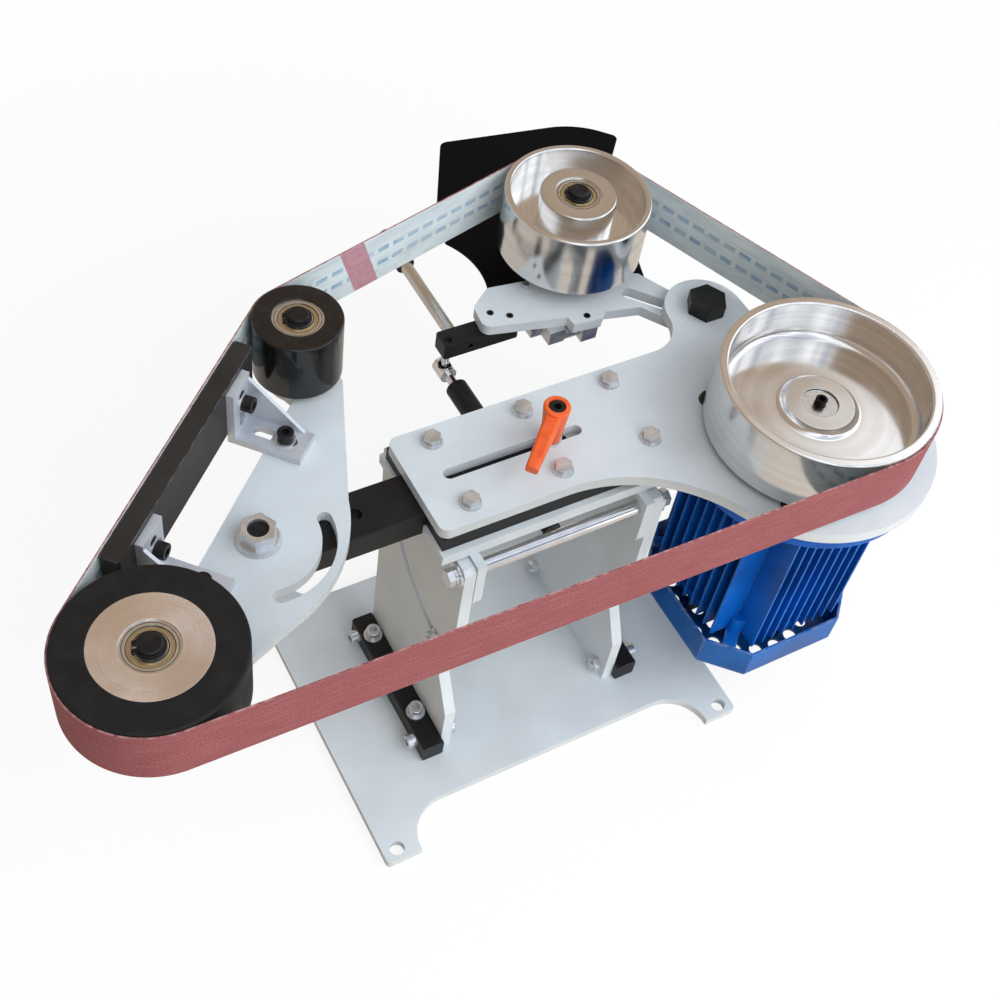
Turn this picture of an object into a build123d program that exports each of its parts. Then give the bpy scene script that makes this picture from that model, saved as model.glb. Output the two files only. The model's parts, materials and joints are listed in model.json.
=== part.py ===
from build123d import *
import os
from math import asin, atan2, cos, degrees, hypot, radians, sin

# Bench belt sanding machine with a tilting head, four belt wheels and a flange motor.
# Millimetres, +Z up. The origin is the centre of the base's bolt pattern, on its underside.
# X runs along the base, from the contact wheel towards the motor, and Y runs to the back.

# Clearances
running_clearance = 0.05
screw_clearance = 0.1
slide_clearance = 0.3
seat_gap = 0.05
ball_clearance = 0.8
screw_end_gap = 1

# Base plate
base_length = 356
base_depth = 305
base_waist_depth = 230
base_thickness = 8
base_ear_width = 32
base_ear_fillet = 36
base_corner_radius = 4
base_hole_diameter = 13
base_hole_inset_x = 13
base_hole_inset_y = 10

# Uprights, as outlines that stand on the base
upright_thickness = 10
upright_inner_gap = 159
upright_height = 261
upright_foot_front_y = -73
upright_foot_height = 56
upright_waist_front_y = -54
upright_waist_height = 95
upright_neck_drop = 80
upright_back_y = 66
upright_back_top_y = 72
upright_shoulder_drop = 134
upright_corner_radius = 4
upright_edge_chamfer = 7.2
upright_front_chamfer = 4

# Tilt pivot of the head, an axis along X
pivot_y = -57.5
pivot_rod_diameter = 12
pivot_nose = 12
pivot_front = 10
pivot_bolt_size = 8
pivot_bolt_flats = 13
pivot_bolt_head = 5.5
pivot_thread = 18
pivot_flat_washer = 2
pivot_spring_washer = 2.6
pivot_washer_diameter = 20
spring_washer_diameter = 15
lock_radius = 114
lock_rest_angle = -82
lock_slot_start = -84.5
lock_slot_end = -4.5
lock_slot_width = 9.2
lock_bolt_diameter = 8
lock_bolt_flats = 13
lock_bolt_head = 5.3
lock_bolt_tail = 2
lock_nut_height = 6.5
lock_nut_flange = 16.5
lock_nut_flange_height = 1.5
lock_arm_width = 21

# Foot bars and their screws
foot_bar_section = 20
foot_bar_length = 147
foot_bar_middle_y = -5.5
foot_bar_chamfer = 1.5
foot_screw_size = 8
foot_screw_tail = 2
foot_washer_thickness = 1.6
foot_washer_diameter = 17
foot_nut_height = 6.5
foot_nut_flats = 13
foot_screw_ys = (45, -42)
side_screw_ys = (55, -5, -62)
side_screw_height = 11

# Head stack: tilt plate, channel bars and main plate
tilt_plate_gap = 2
tilt_plate_length = 206
tilt_plate_depth = 108
tilt_plate_thickness = 10
channel_bar_length = 201
channel_bar_front_y = -48.5
bracket_thickness = 8
bracket_front_y = -68
bracket_depth = 57
bracket_back_y = 52
bracket_slope_y = 22
bracket_slope_z = 14
bracket_radius = 4
bracket_front_radius = 15
arm_notch_clearance = 2
main_plate_thickness = 10
main_plate_left_x = -102
main_plate_depth = 96
main_plate_corner_radius = 8
motor_lobe_margin = 5
motor_lobe_fillet = 128
pivot_lobe_radius = 35
pivot_lobe_fillet = 33
pivot_neck_width = 56
pivot_neck_fillet = 12
frame_bolt_size = 8
frame_bolt_flats = 12.5
frame_bolt_head = 6.5
frame_bolt_flange = 18
frame_bolt_flange_height = 2.5
frame_bolt_xs = (-70, 10, 90)
frame_bolt_spacing_y = 64
frame_bolt_middle_y = 1.5
adjust_slot_left_x = -77
adjust_slot_right_x = 44
adjust_slot_width = 10

# Wheels: centres, radii and widths
contact_axis = (-334.3, -89.1)
idler_axis = (-135.7, 137.8)
tracking_axis = (136.9, 181.7)
drive_axis = (215.0, -73.3)
contact_radius = 62.5
idler_radius = 35
tracking_radius = 62.5
drive_radius = 87.5
wheel_plate_gap = 6
roller_width = 54.5
rim_wheel_width = 56
contact_hub_radius = 40
wheel_edge_radius = 1.5
bearing_outer_diameter = 40
bearing_bore = 17
bearing_width = 12
bearing_recess = 1.2
bearing_shoulder = 3
axle_rise = 4
axle_shoulder_diameter = 24
axle_tip_radius = 1.5
retaining_ring_diameter = 21
retaining_ring_thickness = 1.2
retaining_ring_room = 0.2
retaining_groove = 0.5
retaining_gap = 2.4
retaining_gap_angle = 160
retaining_ear_radius = 1.8
retaining_ear_spread = 17

# Aluminium rim wheels
tracking_rim = 5.5
tracking_dish_depth = 24
tracking_boss_radius = 32.5
tracking_under_depth = 20
drive_rim = 7.5
drive_dish_depth = 35
drive_web = 12
drive_boss_radius = 30.5
drive_boss_height = 6
drive_boss_taper = 25
drive_boss_recess_radius = 15
drive_boss_recess = 4
drive_hub_radius = 28
drive_bowl_fillet = 6
drive_screw_size = 6
drive_screw_length = 20
drive_washer_thickness = 2.5
drive_washer_room = 1

# Belt
belt_width = 50
belt_thickness = 1.2
belt_inset = 2
belt_inner_gap = 0.3

# Tool arm and its ratchet lever
tool_arm_width = 42
tool_arm_height = 24
tool_arm_left_x = -248
tool_arm_right_x = 34
tool_arm_hole_x = -150
tool_arm_hole_diameter = 11
tool_arm_retract = 20
tool_arm_end_room = 6
tool_arm_floor_gap = 0.7
lever_x = 16
lever_stud_diameter = 8
lever_washer_diameter = 18
lever_washer_thickness = 2.5
lever_hub_radius = 10.8
lever_neck_radius = 7.8
lever_hub_height = 36
lever_hub_edge = 1.2
lever_direction = -138
lever_root_reach = 4
lever_root_width = 13.5
lever_root_thickness = 12
lever_root_drop = 7
lever_tip_reach = 55
lever_tip_width = 10
lever_tip_thickness = 8
lever_tip_drop = 15.5
lever_arm_radius = 2.5
lever_screw_size = 8
lever_screw_sink = 8.4
lever_screw_room = 0.4
lever_crown = 17

# Swinging platen arm
arm_pivot = (-226, 0)
arm_pivot_stud_diameter = 16
arm_stud_recess = 3
arm_nut_flats = 24
arm_nut_height = 14
arm_nut_flange = 34
arm_nut_flange_height = 4
arm_plate_thickness = 10
arm_idler_lobe_radius = 24
arm_shoulder_step = (29, -21.5)
arm_contact_lobe_radius = 27
arm_slot_radius = 51
arm_slot_start = -95
arm_slot_end = -1
arm_slot_width = 11
arm_belly_right = (74, 7)
arm_belly_low = (46.6, -41.9)
arm_belly_end = (-3, -73)
arm_edge_bend = 102
arm_edge_end = 272
arm_edge_margin = 12.2
platen_thickness = 15
platen_height = 49
platen_start = 50
platen_end = 262
platen_gap = 0.4
platen_chamfer = 2
platen_skin = 1
angle_positions = (85, 228)
angle_gusset_sides = (-1, 1)
angle_gusset_thickness = 3
angle_gusset_drop = 5
angle_gusset_end = 7
angle_width = 28
angle_thickness = 6
angle_foot_length = 58
angle_height = 52
angle_screw_size = 8
angle_screw_height = 33
angle_screw_reach = 40.5
angle_slot_width = 9
angle_slot_length = 35
angle_slot_reach = 32.3
angle_wall_slot_length = 36
angle_wall_slot_height = 27
angle_washer_diameter = 16
angle_washer_thickness = 1.6

# Tracking arm, its pivot, carrier and tension bar; outlines are steps from the pivot or the wheel
tracking_pivot = (211, 74)
tracking_bolt_flats = 30
tracking_bolt_head = 12
tracking_bolt_diameter = 12
tracking_nut_flats = 18
tracking_nut_height = 14
tracking_arm_thickness = 10
tracking_arm_gap = 1
tracking_lobe_radius = 18
tracking_slot_step = (-45, 50)
tracking_arm_front = ((-181, 60), (-109, 43.5), (-108, 34), (-82, 31.5), (-75, 38), (-44, 31))
tracking_arm_back = ((-7, 35), (-24, 67), (-61, 83), (-118, 95), (-157, 100), (-178, 84))
tracking_arm_end_length = 33
tracking_arm_end_radius = 8
hinge_step = (-104.5, 45)
hinge_pin_diameter = 6
hinge_drop = 8
hinge_length = 43
hinge_block_fronts = (5, 12)
hinge_block_back = 8
hinge_block_room = 2
hinge_knuckle_width = 13
hinge_knuckle_wall = 3.5
carrier_thickness = 8
carrier_axle_margin = 28
carrier_screw_margin = 10
guard_thickness = 2
guard_front = ((-75, 0), (65, -33), (70, -17), (123, 119))
guard_back = ((144, 143), (114, 174), (-23, 194))
guard_side = ((-67, 115), (-81, 70))
guard_hollow = (-70, 43)
guard_back_radii = (6, 80, 9)
adjust_screw_step = (-125, 89)
adjust_screw_diameter = 6
adjust_screw_rise = 4
adjust_socket_depth = 3
tension_bar_step = (-180.5, 68.8)
tension_bar_length = 71
tension_bar_width = 18.5
tension_bar_height = 15
tension_bar_chamfer = 1.5
bar_hole_step = -11
bar_hole_diameter = 5
bar_hole_depth = 5
bar_screw_steps = ((-168, 73), (-154, 64))
hinge_screw_step = (-92.5, 39.3)
arm_screw_rise = 0.4
arm_screw_depth = 4
handle_step = -19.7
handle_diameter = 11
handle_length = 88
handle_thread = 12
handle_grip_diameter = 17
handle_grip_length = 42
handle_grip_radius = 4
ball_step = (-29.7, -2.3)
ball_diameter = 10
ball_drop = 21
ball_stud_sink = 5
ball_stud_diameter = 7

# Gas spring
spring_anchor = (2, -37)
spring_cylinder_diameter = 19
spring_cylinder_end = 21
spring_rod_diameter = 8
spring_socket_diameter = 15
spring_socket_half = 8
spring_socket_neck = 14
spring_bore_start = 40
spring_rod_start = 60
spring_edge_radius = 2

# Motor
motor_flange_diameter = 200
motor_flange_thickness = 14
motor_pilot_diameter = 130
motor_pilot_height = 3
motor_bolt_circle = 165
motor_bolt_size = 10
motor_bolt_head = 3.5
motor_bolt_head_diameter = 18
motor_bolt_taper = 20
motor_bolt_key = 6
motor_shaft_diameter = 19
motor_body_radius = 61.5
motor_body_length = 172
motor_wall = 6
motor_end_shield = 12
motor_bearing_outer = 47
motor_bearing_width = 14
motor_bearing_bore = 20
motor_bearing_sink = 4
motor_shaft_room = 1
motor_fin_reach = 71
motor_fin_thickness = 1.8
motor_fin_pitch = 10.9
motor_fin_count = 9
motor_rim_radius = 67
motor_rim_height = 8
motor_lug_radius = 8
motor_lug_place = 65
motor_lug_height = 18
cowl_width = 157
cowl_corner_flat = 88.7
cowl_height = 40
cowl_gap = 1
cowl_wall = 2
cowl_rim_radius = 10
cowl_tab_width = 12
cowl_hole_rings = (26, 44, 62)
cowl_hole_spacing = 19
cowl_hole_radius = 6
fan_radius = 58
fan_blade_count = 8
fan_hub_radius = 16
fan_thickness = 3
fan_height = 22
fan_floor_gap = 8
stator_length = 110
stator_lift = 26
stator_wall = 17
rotor_gap = 0.6
terminal_box_width = 92
terminal_box_height = 84
terminal_box_depth = 44
terminal_box_drop = 79
terminal_wall = 4
terminal_corner = 6
terminal_lid_thickness = 4
terminal_lid_chamfer = 1.5
gland_nut_flats = 24
gland_nut_height = 6
gland_bore = 10
gland_diameter = 20
gland_length = 18

# Places that follow from the sizes above
base_top_z = base_thickness
base_hole_spacing_x = base_length - 2 * base_hole_inset_x
base_hole_spacing_y = base_depth - 2 * base_hole_inset_y
upright_top_z = base_top_z + upright_height
pivot_z = upright_top_z - pivot_nose
upright_inner_x = upright_inner_gap / 2
upright_outer_x = upright_inner_x + upright_thickness
tilt_plate_bottom_z = upright_top_z + tilt_plate_gap
tilt_plate_top_z = tilt_plate_bottom_z + tilt_plate_thickness
arm_space = tool_arm_floor_gap + tool_arm_height + slide_clearance
channel_bar_height = arm_space - tilt_plate_gap - tilt_plate_thickness
main_plate_bottom_z = tilt_plate_top_z + channel_bar_height
main_plate_top_z = main_plate_bottom_z + main_plate_thickness
tracking_arm_top_z = main_plate_bottom_z - tracking_arm_gap
tracking_arm_bottom_z = tracking_arm_top_z - tracking_arm_thickness
channel_inner_y = tool_arm_width / 2 + slide_clearance
tool_arm_top_z = main_plate_bottom_z - slide_clearance
tool_arm_bottom_z = tool_arm_top_z - tool_arm_height
lock_rest_y = pivot_y + lock_radius * cos(radians(lock_rest_angle))
lock_rest_z = pivot_z + lock_radius * sin(radians(lock_rest_angle))
bracket_outer_x = upright_inner_x - slide_clearance
bracket_inner_x = bracket_outer_x - bracket_thickness
bracket_drop_z = tilt_plate_bottom_z - bracket_depth
arm_plate_bottom_z = main_plate_bottom_z
arm_plate_top_z = arm_plate_bottom_z + arm_plate_thickness
wheel_bottom_z = main_plate_top_z + wheel_plate_gap
belt_bottom_z = wheel_bottom_z + belt_inset
motor_lobe_radius = motor_flange_diameter / 2 + motor_lobe_margin
motor_flange_bottom_z = main_plate_bottom_z - motor_flange_thickness
motor_body_bottom_z = motor_flange_bottom_z - motor_body_length
cowl_top_z = motor_body_bottom_z - cowl_gap
cowl_bottom_z = cowl_top_z - cowl_height
terminal_box_middle_z = motor_flange_bottom_z - terminal_box_drop


def step_from(place, step):
    return (place[0] + step[0], place[1] + step[1])


hinge_middle_x, hinge_y = step_from(tracking_pivot, hinge_step)
hinge_z = tracking_arm_bottom_z - hinge_drop
hinge_left_x = hinge_middle_x - hinge_length / 2
hinge_right_x = hinge_middle_x + hinge_length / 2
carrier_top_z = hinge_z
carrier_bottom_z = carrier_top_z - carrier_thickness
adjust_screw_place = step_from(tracking_pivot, adjust_screw_step)
tension_bar_middle = step_from(tracking_pivot, tension_bar_step)
ball_place = step_from(tension_bar_middle, ball_step)

# Direction of the belt run that the platen backs, from the contact wheel to the idler
run_span = hypot(idler_axis[0] - contact_axis[0], idler_axis[1] - contact_axis[1])
centre_line_angle = atan2(idler_axis[1] - contact_axis[1], idler_axis[0] - contact_axis[0])
run_angle = degrees(centre_line_angle - asin((contact_radius - idler_radius) / run_span))
platen_frame = Plane(
    origin=(contact_axis[0], contact_axis[1], arm_plate_top_z),
    x_dir=(cos(radians(run_angle)), sin(radians(run_angle)), 0),
    z_dir=(0, 0, 1),
)
platen_outer = contact_radius - platen_gap
platen_inner = platen_outer - platen_thickness
platen_lift = belt_bottom_z - arm_plate_top_z
angle_wall_inner = platen_inner - angle_thickness
angle_screw_place = platen_inner - angle_screw_reach


def beside_run(along, across):
    """A place in plan, measured along the platen's run and across it from the contact wheel's axis."""
    point = platen_frame.from_local_coords(Vector(along, across, 0))
    return (point.X, point.Y)


angle_tap_places = [beside_run(along, angle_screw_place) for along in angle_positions]


# Small repeated pieces, each standing on z = 0 with its axis along +Z
def socket_screw(size, length):
    with BuildPart() as screw:
        with BuildSketch():
            Circle(0.8 * size)
        extrude(amount=size)
        chamfer(screw.edges().group_by(Axis.Z)[-1], length=0.06 * size)
        with BuildSketch(Plane.XY.offset(size)):
            RegularPolygon(radius=0.4 * size, side_count=6, major_radius=False)
        extrude(amount=-0.5 * size, mode=Mode.SUBTRACT)
        with BuildSketch():
            Circle(size / 2 - screw_clearance)
        extrude(amount=-length)
    return screw.part


def hex_bolt(flats, head, size, length, flange=0, flange_height=0):
    with BuildPart() as bolt:
        if flange:
            with BuildSketch():
                Circle(flange / 2)
            extrude(amount=flange_height, taper=25)
        with BuildSketch():
            RegularPolygon(radius=flats / 2, side_count=6, major_radius=False)
        extrude(amount=head)
        with BuildSketch():
            Circle(size / 2 - screw_clearance)
        extrude(amount=-length)
    return bolt.part


def hex_nut(flats, height, size, flange=0, flange_height=0):
    with BuildPart() as nut:
        if flange:
            with BuildSketch():
                Circle(flange / 2)
            extrude(amount=flange_height, taper=25)
        with BuildSketch():
            RegularPolygon(radius=flats / 2, side_count=6, major_radius=False)
        extrude(amount=height)
        with BuildSketch():
            Circle(size / 2)
        extrude(amount=height, mode=Mode.SUBTRACT)
    return nut.part


def washer(size, outer, thickness):
    with BuildPart() as ring:
        with BuildSketch():
            Circle(outer / 2)
            Circle(size / 2, mode=Mode.SUBTRACT)
        extrude(amount=thickness)
    return ring.part


def ball_bearing():
    ring_wall = 4
    shield_depth = 0.8
    outer_radius = bearing_outer_diameter / 2 - running_clearance
    inner_radius = bearing_bore / 2
    with BuildPart() as bearing:
        with BuildSketch():
            Circle(outer_radius)
            Circle(inner_radius, mode=Mode.SUBTRACT)
        extrude(amount=bearing_width)
        for face_z, way in ((0, 1), (bearing_width, -1)):
            with BuildSketch(Plane.XY.offset(face_z)):
                Circle(outer_radius - ring_wall)
                Circle(inner_radius + ring_wall, mode=Mode.SUBTRACT)
            extrude(amount=way * shield_depth, mode=Mode.SUBTRACT)
    return bearing.part


def wheel_bearings(axis, width):
    bearing = ball_bearing()
    with BuildPart() as pair:
        with Locations(
            (*axis, wheel_bottom_z + bearing_recess),
            (*axis, wheel_bottom_z + width - bearing_recess - bearing_width),
        ):
            add(bearing)
    return pair


def bearing_seats(axis, width):
    """The hollow for a wheel's two bearings: a seat at each end and a narrower bore between."""
    seat_depth = bearing_width + bearing_recess
    seat_radius = bearing_outer_diameter / 2
    with BuildPart() as hollow:
        with BuildSketch(Plane.XY.offset(wheel_bottom_z)):
            with Locations(axis):
                Circle(seat_radius - bearing_shoulder)
        extrude(amount=width)
        for low_z in (wheel_bottom_z, wheel_bottom_z + width - seat_depth):
            with BuildSketch(Plane.XY.offset(low_z)):
                with Locations(axis):
                    Circle(seat_radius)
            extrude(amount=seat_depth)
    return hollow.part


def retaining_ring(axis, low_z, groove_radius):
    """An open ring that holds a wheel on its axle, with an ear on each side of its gap."""
    outer_radius = retaining_ring_diameter / 2
    gap_reach = 3 * retaining_ear_radius
    with BuildPart() as ring:
        with BuildSketch(Plane.XY.offset(low_z)):
            with Locations(axis):
                Circle(outer_radius)
                for side in (-1, 1):
                    ear_angle = retaining_gap_angle + side * retaining_ear_spread
                    with PolarLocations(outer_radius, 1, start_angle=ear_angle):
                        Circle(retaining_ear_radius)
                Circle(groove_radius, mode=Mode.SUBTRACT)
                with PolarLocations(outer_radius, 1, start_angle=retaining_gap_angle):
                    Rectangle(gap_reach, retaining_gap, mode=Mode.SUBTRACT)
        extrude(amount=retaining_ring_thickness)
    return ring.part


def wheel_axle(axis, plate_bottom, plate_top, width):
    """A shoulder bolt and its retaining ring: hex head under its plate, a shoulder, the bearing seat."""
    head_flats = 24
    head_height = 10
    seat_bottom = wheel_bottom_z + bearing_recess
    axle_radius = bearing_bore / 2 - running_clearance
    groove_radius = axle_radius - retaining_groove
    ring_low_z = wheel_bottom_z + width - bearing_recess + retaining_ring_room
    groove_low_z = ring_low_z - running_clearance
    groove_height = retaining_ring_thickness + 2 * running_clearance
    with BuildPart() as axle:
        with BuildSketch(Plane.XY.offset(plate_bottom - head_height)):
            with Locations(axis):
                RegularPolygon(radius=head_flats / 2, side_count=6, major_radius=False)
        extrude(amount=head_height)
        with BuildSketch(Plane.XY.offset(plate_bottom)):
            with Locations(axis):
                Circle(axle_radius)
        extrude(amount=wheel_bottom_z + width + axle_rise - plate_bottom)
        fillet(axle.edges().group_by(Axis.Z)[-1], axle_tip_radius)
        with BuildSketch(Plane.XY.offset(groove_low_z)):
            with Locations(axis):
                Circle(axle_radius + retaining_groove)
                Circle(groove_radius, mode=Mode.SUBTRACT)
        extrude(amount=groove_height, mode=Mode.SUBTRACT)
        with BuildSketch(Plane.XY.offset(plate_top)):
            with Locations(axis):
                Circle(axle_shoulder_diameter / 2)
        extrude(amount=seat_bottom - plate_top)
        add(retaining_ring(axis, ring_low_z, groove_radius + running_clearance))
    return axle.part


# Base plate with four bolt ears
with BuildPart() as base_plate:
    with BuildSketch() as base_outline:
        Rectangle(base_length, base_waist_depth)
        with GridLocations(base_length - base_ear_width, 0, 2, 1):
            Rectangle(base_ear_width, base_depth)
        notches = base_outline.vertices().filter_by(lambda v: abs(v.Y) < base_depth / 2 - 1)
        fillet(notches, base_ear_fillet)
        corners = base_outline.vertices().filter_by(lambda v: abs(v.X) > base_length / 2 - 1)
        fillet(corners, base_corner_radius)
    extrude(amount=base_thickness)
    with GridLocations(base_hole_spacing_x, base_hole_spacing_y, 2, 2):
        Hole(base_hole_diameter / 2)
    for side in (-1, 1):
        with Locations(*[(side * (upright_outer_x + foot_bar_section / 2), y) for y in foot_screw_ys]):
            Hole(foot_screw_size / 2)


# Uprights; the left one carries the arc slot of the tilt lock
side_screw_z = base_top_z + side_screw_height


def upright_plate(side, slotted):
    near_x = side * upright_inner_x
    nose_front_y = pivot_y - pivot_front
    low_corner_z = base_top_z + upright_corner_radius
    with BuildPart() as upright:
        with BuildSketch(Plane.YZ.offset(near_x)) as outline:
            with BuildLine():
                Polyline(
                    (upright_foot_front_y, base_top_z),
                    (upright_foot_front_y, base_top_z + upright_foot_height),
                    (upright_waist_front_y, base_top_z + upright_waist_height),
                    (nose_front_y, upright_top_z - upright_neck_drop),
                    (nose_front_y, upright_top_z - upright_front_chamfer),
                    (nose_front_y + upright_front_chamfer, upright_top_z),
                    (upright_back_top_y - upright_edge_chamfer, upright_top_z),
                    (upright_back_top_y, upright_top_z - upright_edge_chamfer),
                    (upright_back_y, upright_top_z - upright_shoulder_drop),
                    (upright_back_y, base_top_z),
                    close=True,
                )
            make_face()
            front_corner_z = upright_top_z - 2 * upright_front_chamfer
            upper = outline.vertices().filter_by(lambda v: v.Y > low_corner_z)
            bends = upper.filter_by(lambda v: v.X > 0 or v.Y < front_corner_z)
            fillet(bends, upright_corner_radius)
            with Locations((pivot_y, pivot_z)):
                Circle(pivot_bolt_size / 2, mode=Mode.SUBTRACT)
            with Locations(*[(y, side_screw_z) for y in side_screw_ys]):
                Circle(foot_screw_size / 2, mode=Mode.SUBTRACT)
            if slotted:
                with BuildLine(mode=Mode.PRIVATE) as slot_line:
                    CenterArc(
                        (pivot_y, pivot_z), lock_radius, lock_slot_start, lock_slot_end - lock_slot_start
                    )
                SlotArc(slot_line.edge(), lock_slot_width, mode=Mode.SUBTRACT)
        extrude(amount=side * upright_thickness)
    return upright.part


with BuildPart() as uprights:
    add(upright_plate(-1, True))
    add(upright_plate(1, False))

# Foot bars that hold the uprights to the base
with BuildPart() as foot_bars:
    for side in (-1, 1):
        bar_x = side * (upright_outer_x + foot_bar_section / 2)
        with BuildSketch(Plane.XY.offset(base_top_z)):
            with Locations((bar_x, foot_bar_middle_y)):
                Rectangle(foot_bar_section, foot_bar_length)
        extrude(amount=foot_bar_section)
        with BuildSketch(Plane.XY.offset(base_top_z)):
            with Locations(*[(bar_x, y) for y in foot_screw_ys]):
                Circle(foot_screw_size / 2)
        extrude(amount=foot_bar_section, mode=Mode.SUBTRACT)
        with BuildSketch(Plane.YZ.offset(side * upright_outer_x)):
            with Locations(*[(y, side_screw_z) for y in side_screw_ys]):
                Circle(foot_screw_size / 2)
        extrude(amount=side * foot_bar_section, mode=Mode.SUBTRACT)
    chamfer(foot_bars.edges().filter_by(Axis.Y), length=foot_bar_chamfer)

# Screws and nuts of the feet, and the washers of the stand
bar_top_z = base_top_z + foot_bar_section
bar_outer_x = upright_outer_x + foot_bar_section
with BuildPart() as foot_screws:
    down_length = foot_washer_thickness + foot_bar_section + base_thickness - screw_end_gap
    side_length = foot_bar_section + upright_thickness + foot_nut_height + foot_screw_tail
    down_screw = socket_screw(foot_screw_size, down_length)
    side_screw = socket_screw(foot_screw_size, side_length)
    side_nut = hex_nut(foot_nut_flats, foot_nut_height, foot_screw_size)
    for side in (-1, 1):
        bar_x = side * (upright_outer_x + foot_bar_section / 2)
        with Locations(*[(bar_x, y, bar_top_z + foot_washer_thickness) for y in foot_screw_ys]):
            add(down_screw)
        for y in side_screw_ys:
            with Locations(Location((side * bar_outer_x, y, side_screw_z), (0, side * 90, 0))):
                add(side_screw)
            with Locations(Location((side * upright_inner_x, y, side_screw_z), (0, -side * 90, 0))):
                add(side_nut)

with BuildPart() as stand_washers:
    foot_washer = washer(foot_screw_size, foot_washer_diameter, foot_washer_thickness)
    flat_washer = washer(pivot_bolt_size, pivot_washer_diameter, pivot_flat_washer)
    spring_washer = washer(pivot_bolt_size, spring_washer_diameter, pivot_spring_washer)
    for side in (-1, 1):
        bar_x = side * (upright_outer_x + foot_bar_section / 2)
        with Locations(*[(bar_x, y, bar_top_z) for y in foot_screw_ys]):
            add(foot_washer)
        with Locations(Location((side * upright_outer_x, pivot_y, pivot_z), (0, side * 90, 0))):
            add(flat_washer)
        spring_x = side * (upright_outer_x + pivot_flat_washer + seat_gap)
        with Locations(Location((spring_x, pivot_y, pivot_z), (0, side * 90, 0))):
            add(spring_washer)

# Pivot rod between the uprights, and the bolts that hold it
with BuildPart() as pivot_rod:
    with BuildSketch(Plane.YZ.offset(-upright_inner_x)):
        with Locations((pivot_y, pivot_z)):
            Circle(pivot_rod_diameter / 2)
    extrude(amount=upright_inner_gap)
    for side in (-1, 1):
        with BuildSketch(Plane.YZ.offset(side * upright_inner_x)):
            with Locations((pivot_y, pivot_z)):
                Circle(pivot_bolt_size / 2)
        extrude(amount=-side * (pivot_thread + screw_end_gap), mode=Mode.SUBTRACT)

pivot_washers = pivot_flat_washer + seat_gap + pivot_spring_washer
with BuildPart() as pivot_bolts:
    pivot_bolt = hex_bolt(
        pivot_bolt_flats, pivot_bolt_head, pivot_bolt_size, pivot_washers + upright_thickness + pivot_thread
    )
    for side in (-1, 1):
        head_x = side * (upright_outer_x + pivot_washers)
        with Locations(Location((head_x, pivot_y, pivot_z), (0, side * 90, 0))):
            add(pivot_bolt)

# Tilt plate, open from its left end for the tool arm
arm_pocket_right_x = tool_arm_right_x + tool_arm_retract + tool_arm_end_room
frame_bolt_ys = [frame_bolt_middle_y + side * frame_bolt_spacing_y / 2 for side in (-1, 1)]
frame_bolt_places = [(x, y) for x in frame_bolt_xs for y in frame_bolt_ys]
with BuildPart() as tilt_plate:
    with BuildSketch(Plane.XY.offset(tilt_plate_bottom_z)):
        Rectangle(tilt_plate_length, tilt_plate_depth)
        pocket_length = arm_pocket_right_x + tilt_plate_length / 2
        with Locations(((arm_pocket_right_x - tilt_plate_length / 2) / 2, 0)):
            Rectangle(pocket_length, 2 * channel_inner_y, mode=Mode.SUBTRACT)
        with Locations(*frame_bolt_places):
            Circle(frame_bolt_size / 2, mode=Mode.SUBTRACT)
        with Locations(spring_anchor):
            Circle(ball_stud_diameter / 2, mode=Mode.SUBTRACT)
    extrude(amount=tilt_plate_thickness)


# Tilt brackets; the left one reaches down to the lock bolt
def tilt_bracket(side, with_lock):
    high_corner_z = tilt_plate_bottom_z - bracket_radius
    with BuildPart() as bracket:
        with BuildSketch(Plane.YZ.offset(side * bracket_inner_x)) as outline:
            with BuildLine():
                Polyline(
                    (bracket_front_y, tilt_plate_bottom_z),
                    (bracket_front_y, bracket_drop_z),
                    (bracket_back_y - bracket_slope_y, bracket_drop_z),
                    (bracket_back_y, tilt_plate_bottom_z - bracket_slope_z),
                    (bracket_back_y, tilt_plate_bottom_z),
                    close=True,
                )
            make_face()
            front_bend = outline.vertices().sort_by_distance((bracket_front_y, bracket_drop_z))[0]
            fillet(front_bend, bracket_front_radius)
            bends = outline.vertices().filter_by(lambda v: v.Y < high_corner_z and v.X > 0)
            fillet(bends, bracket_radius)
            if with_lock:
                arm_back_y = lock_rest_y + lock_arm_width
                with BuildLine():
                    Polyline(
                        (lock_rest_y + lock_arm_width / 2, lock_rest_z),
                        (arm_back_y, bracket_drop_z + bracket_slope_z),
                        (arm_back_y - lock_arm_width, bracket_drop_z + bracket_slope_z),
                        (lock_rest_y - lock_arm_width / 2, lock_rest_z),
                        close=True,
                    )
                make_face()
                with Locations((lock_rest_y, lock_rest_z)):
                    Circle(lock_arm_width / 2)
                    Circle(lock_bolt_diameter / 2, mode=Mode.SUBTRACT)
                arm_notch = tilt_plate_bottom_z - tool_arm_bottom_z + arm_notch_clearance
                with Locations((0, tilt_plate_bottom_z)):
                    Rectangle(2 * channel_inner_y, 2 * arm_notch, mode=Mode.SUBTRACT)
            with Locations((pivot_y, pivot_z)):
                Circle(pivot_rod_diameter / 2 + running_clearance, mode=Mode.SUBTRACT)
        extrude(amount=side * bracket_thickness)
    return bracket.part


with BuildPart() as tilt_brackets:
    add(tilt_bracket(-1, True))
    add(tilt_bracket(1, False))

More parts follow.
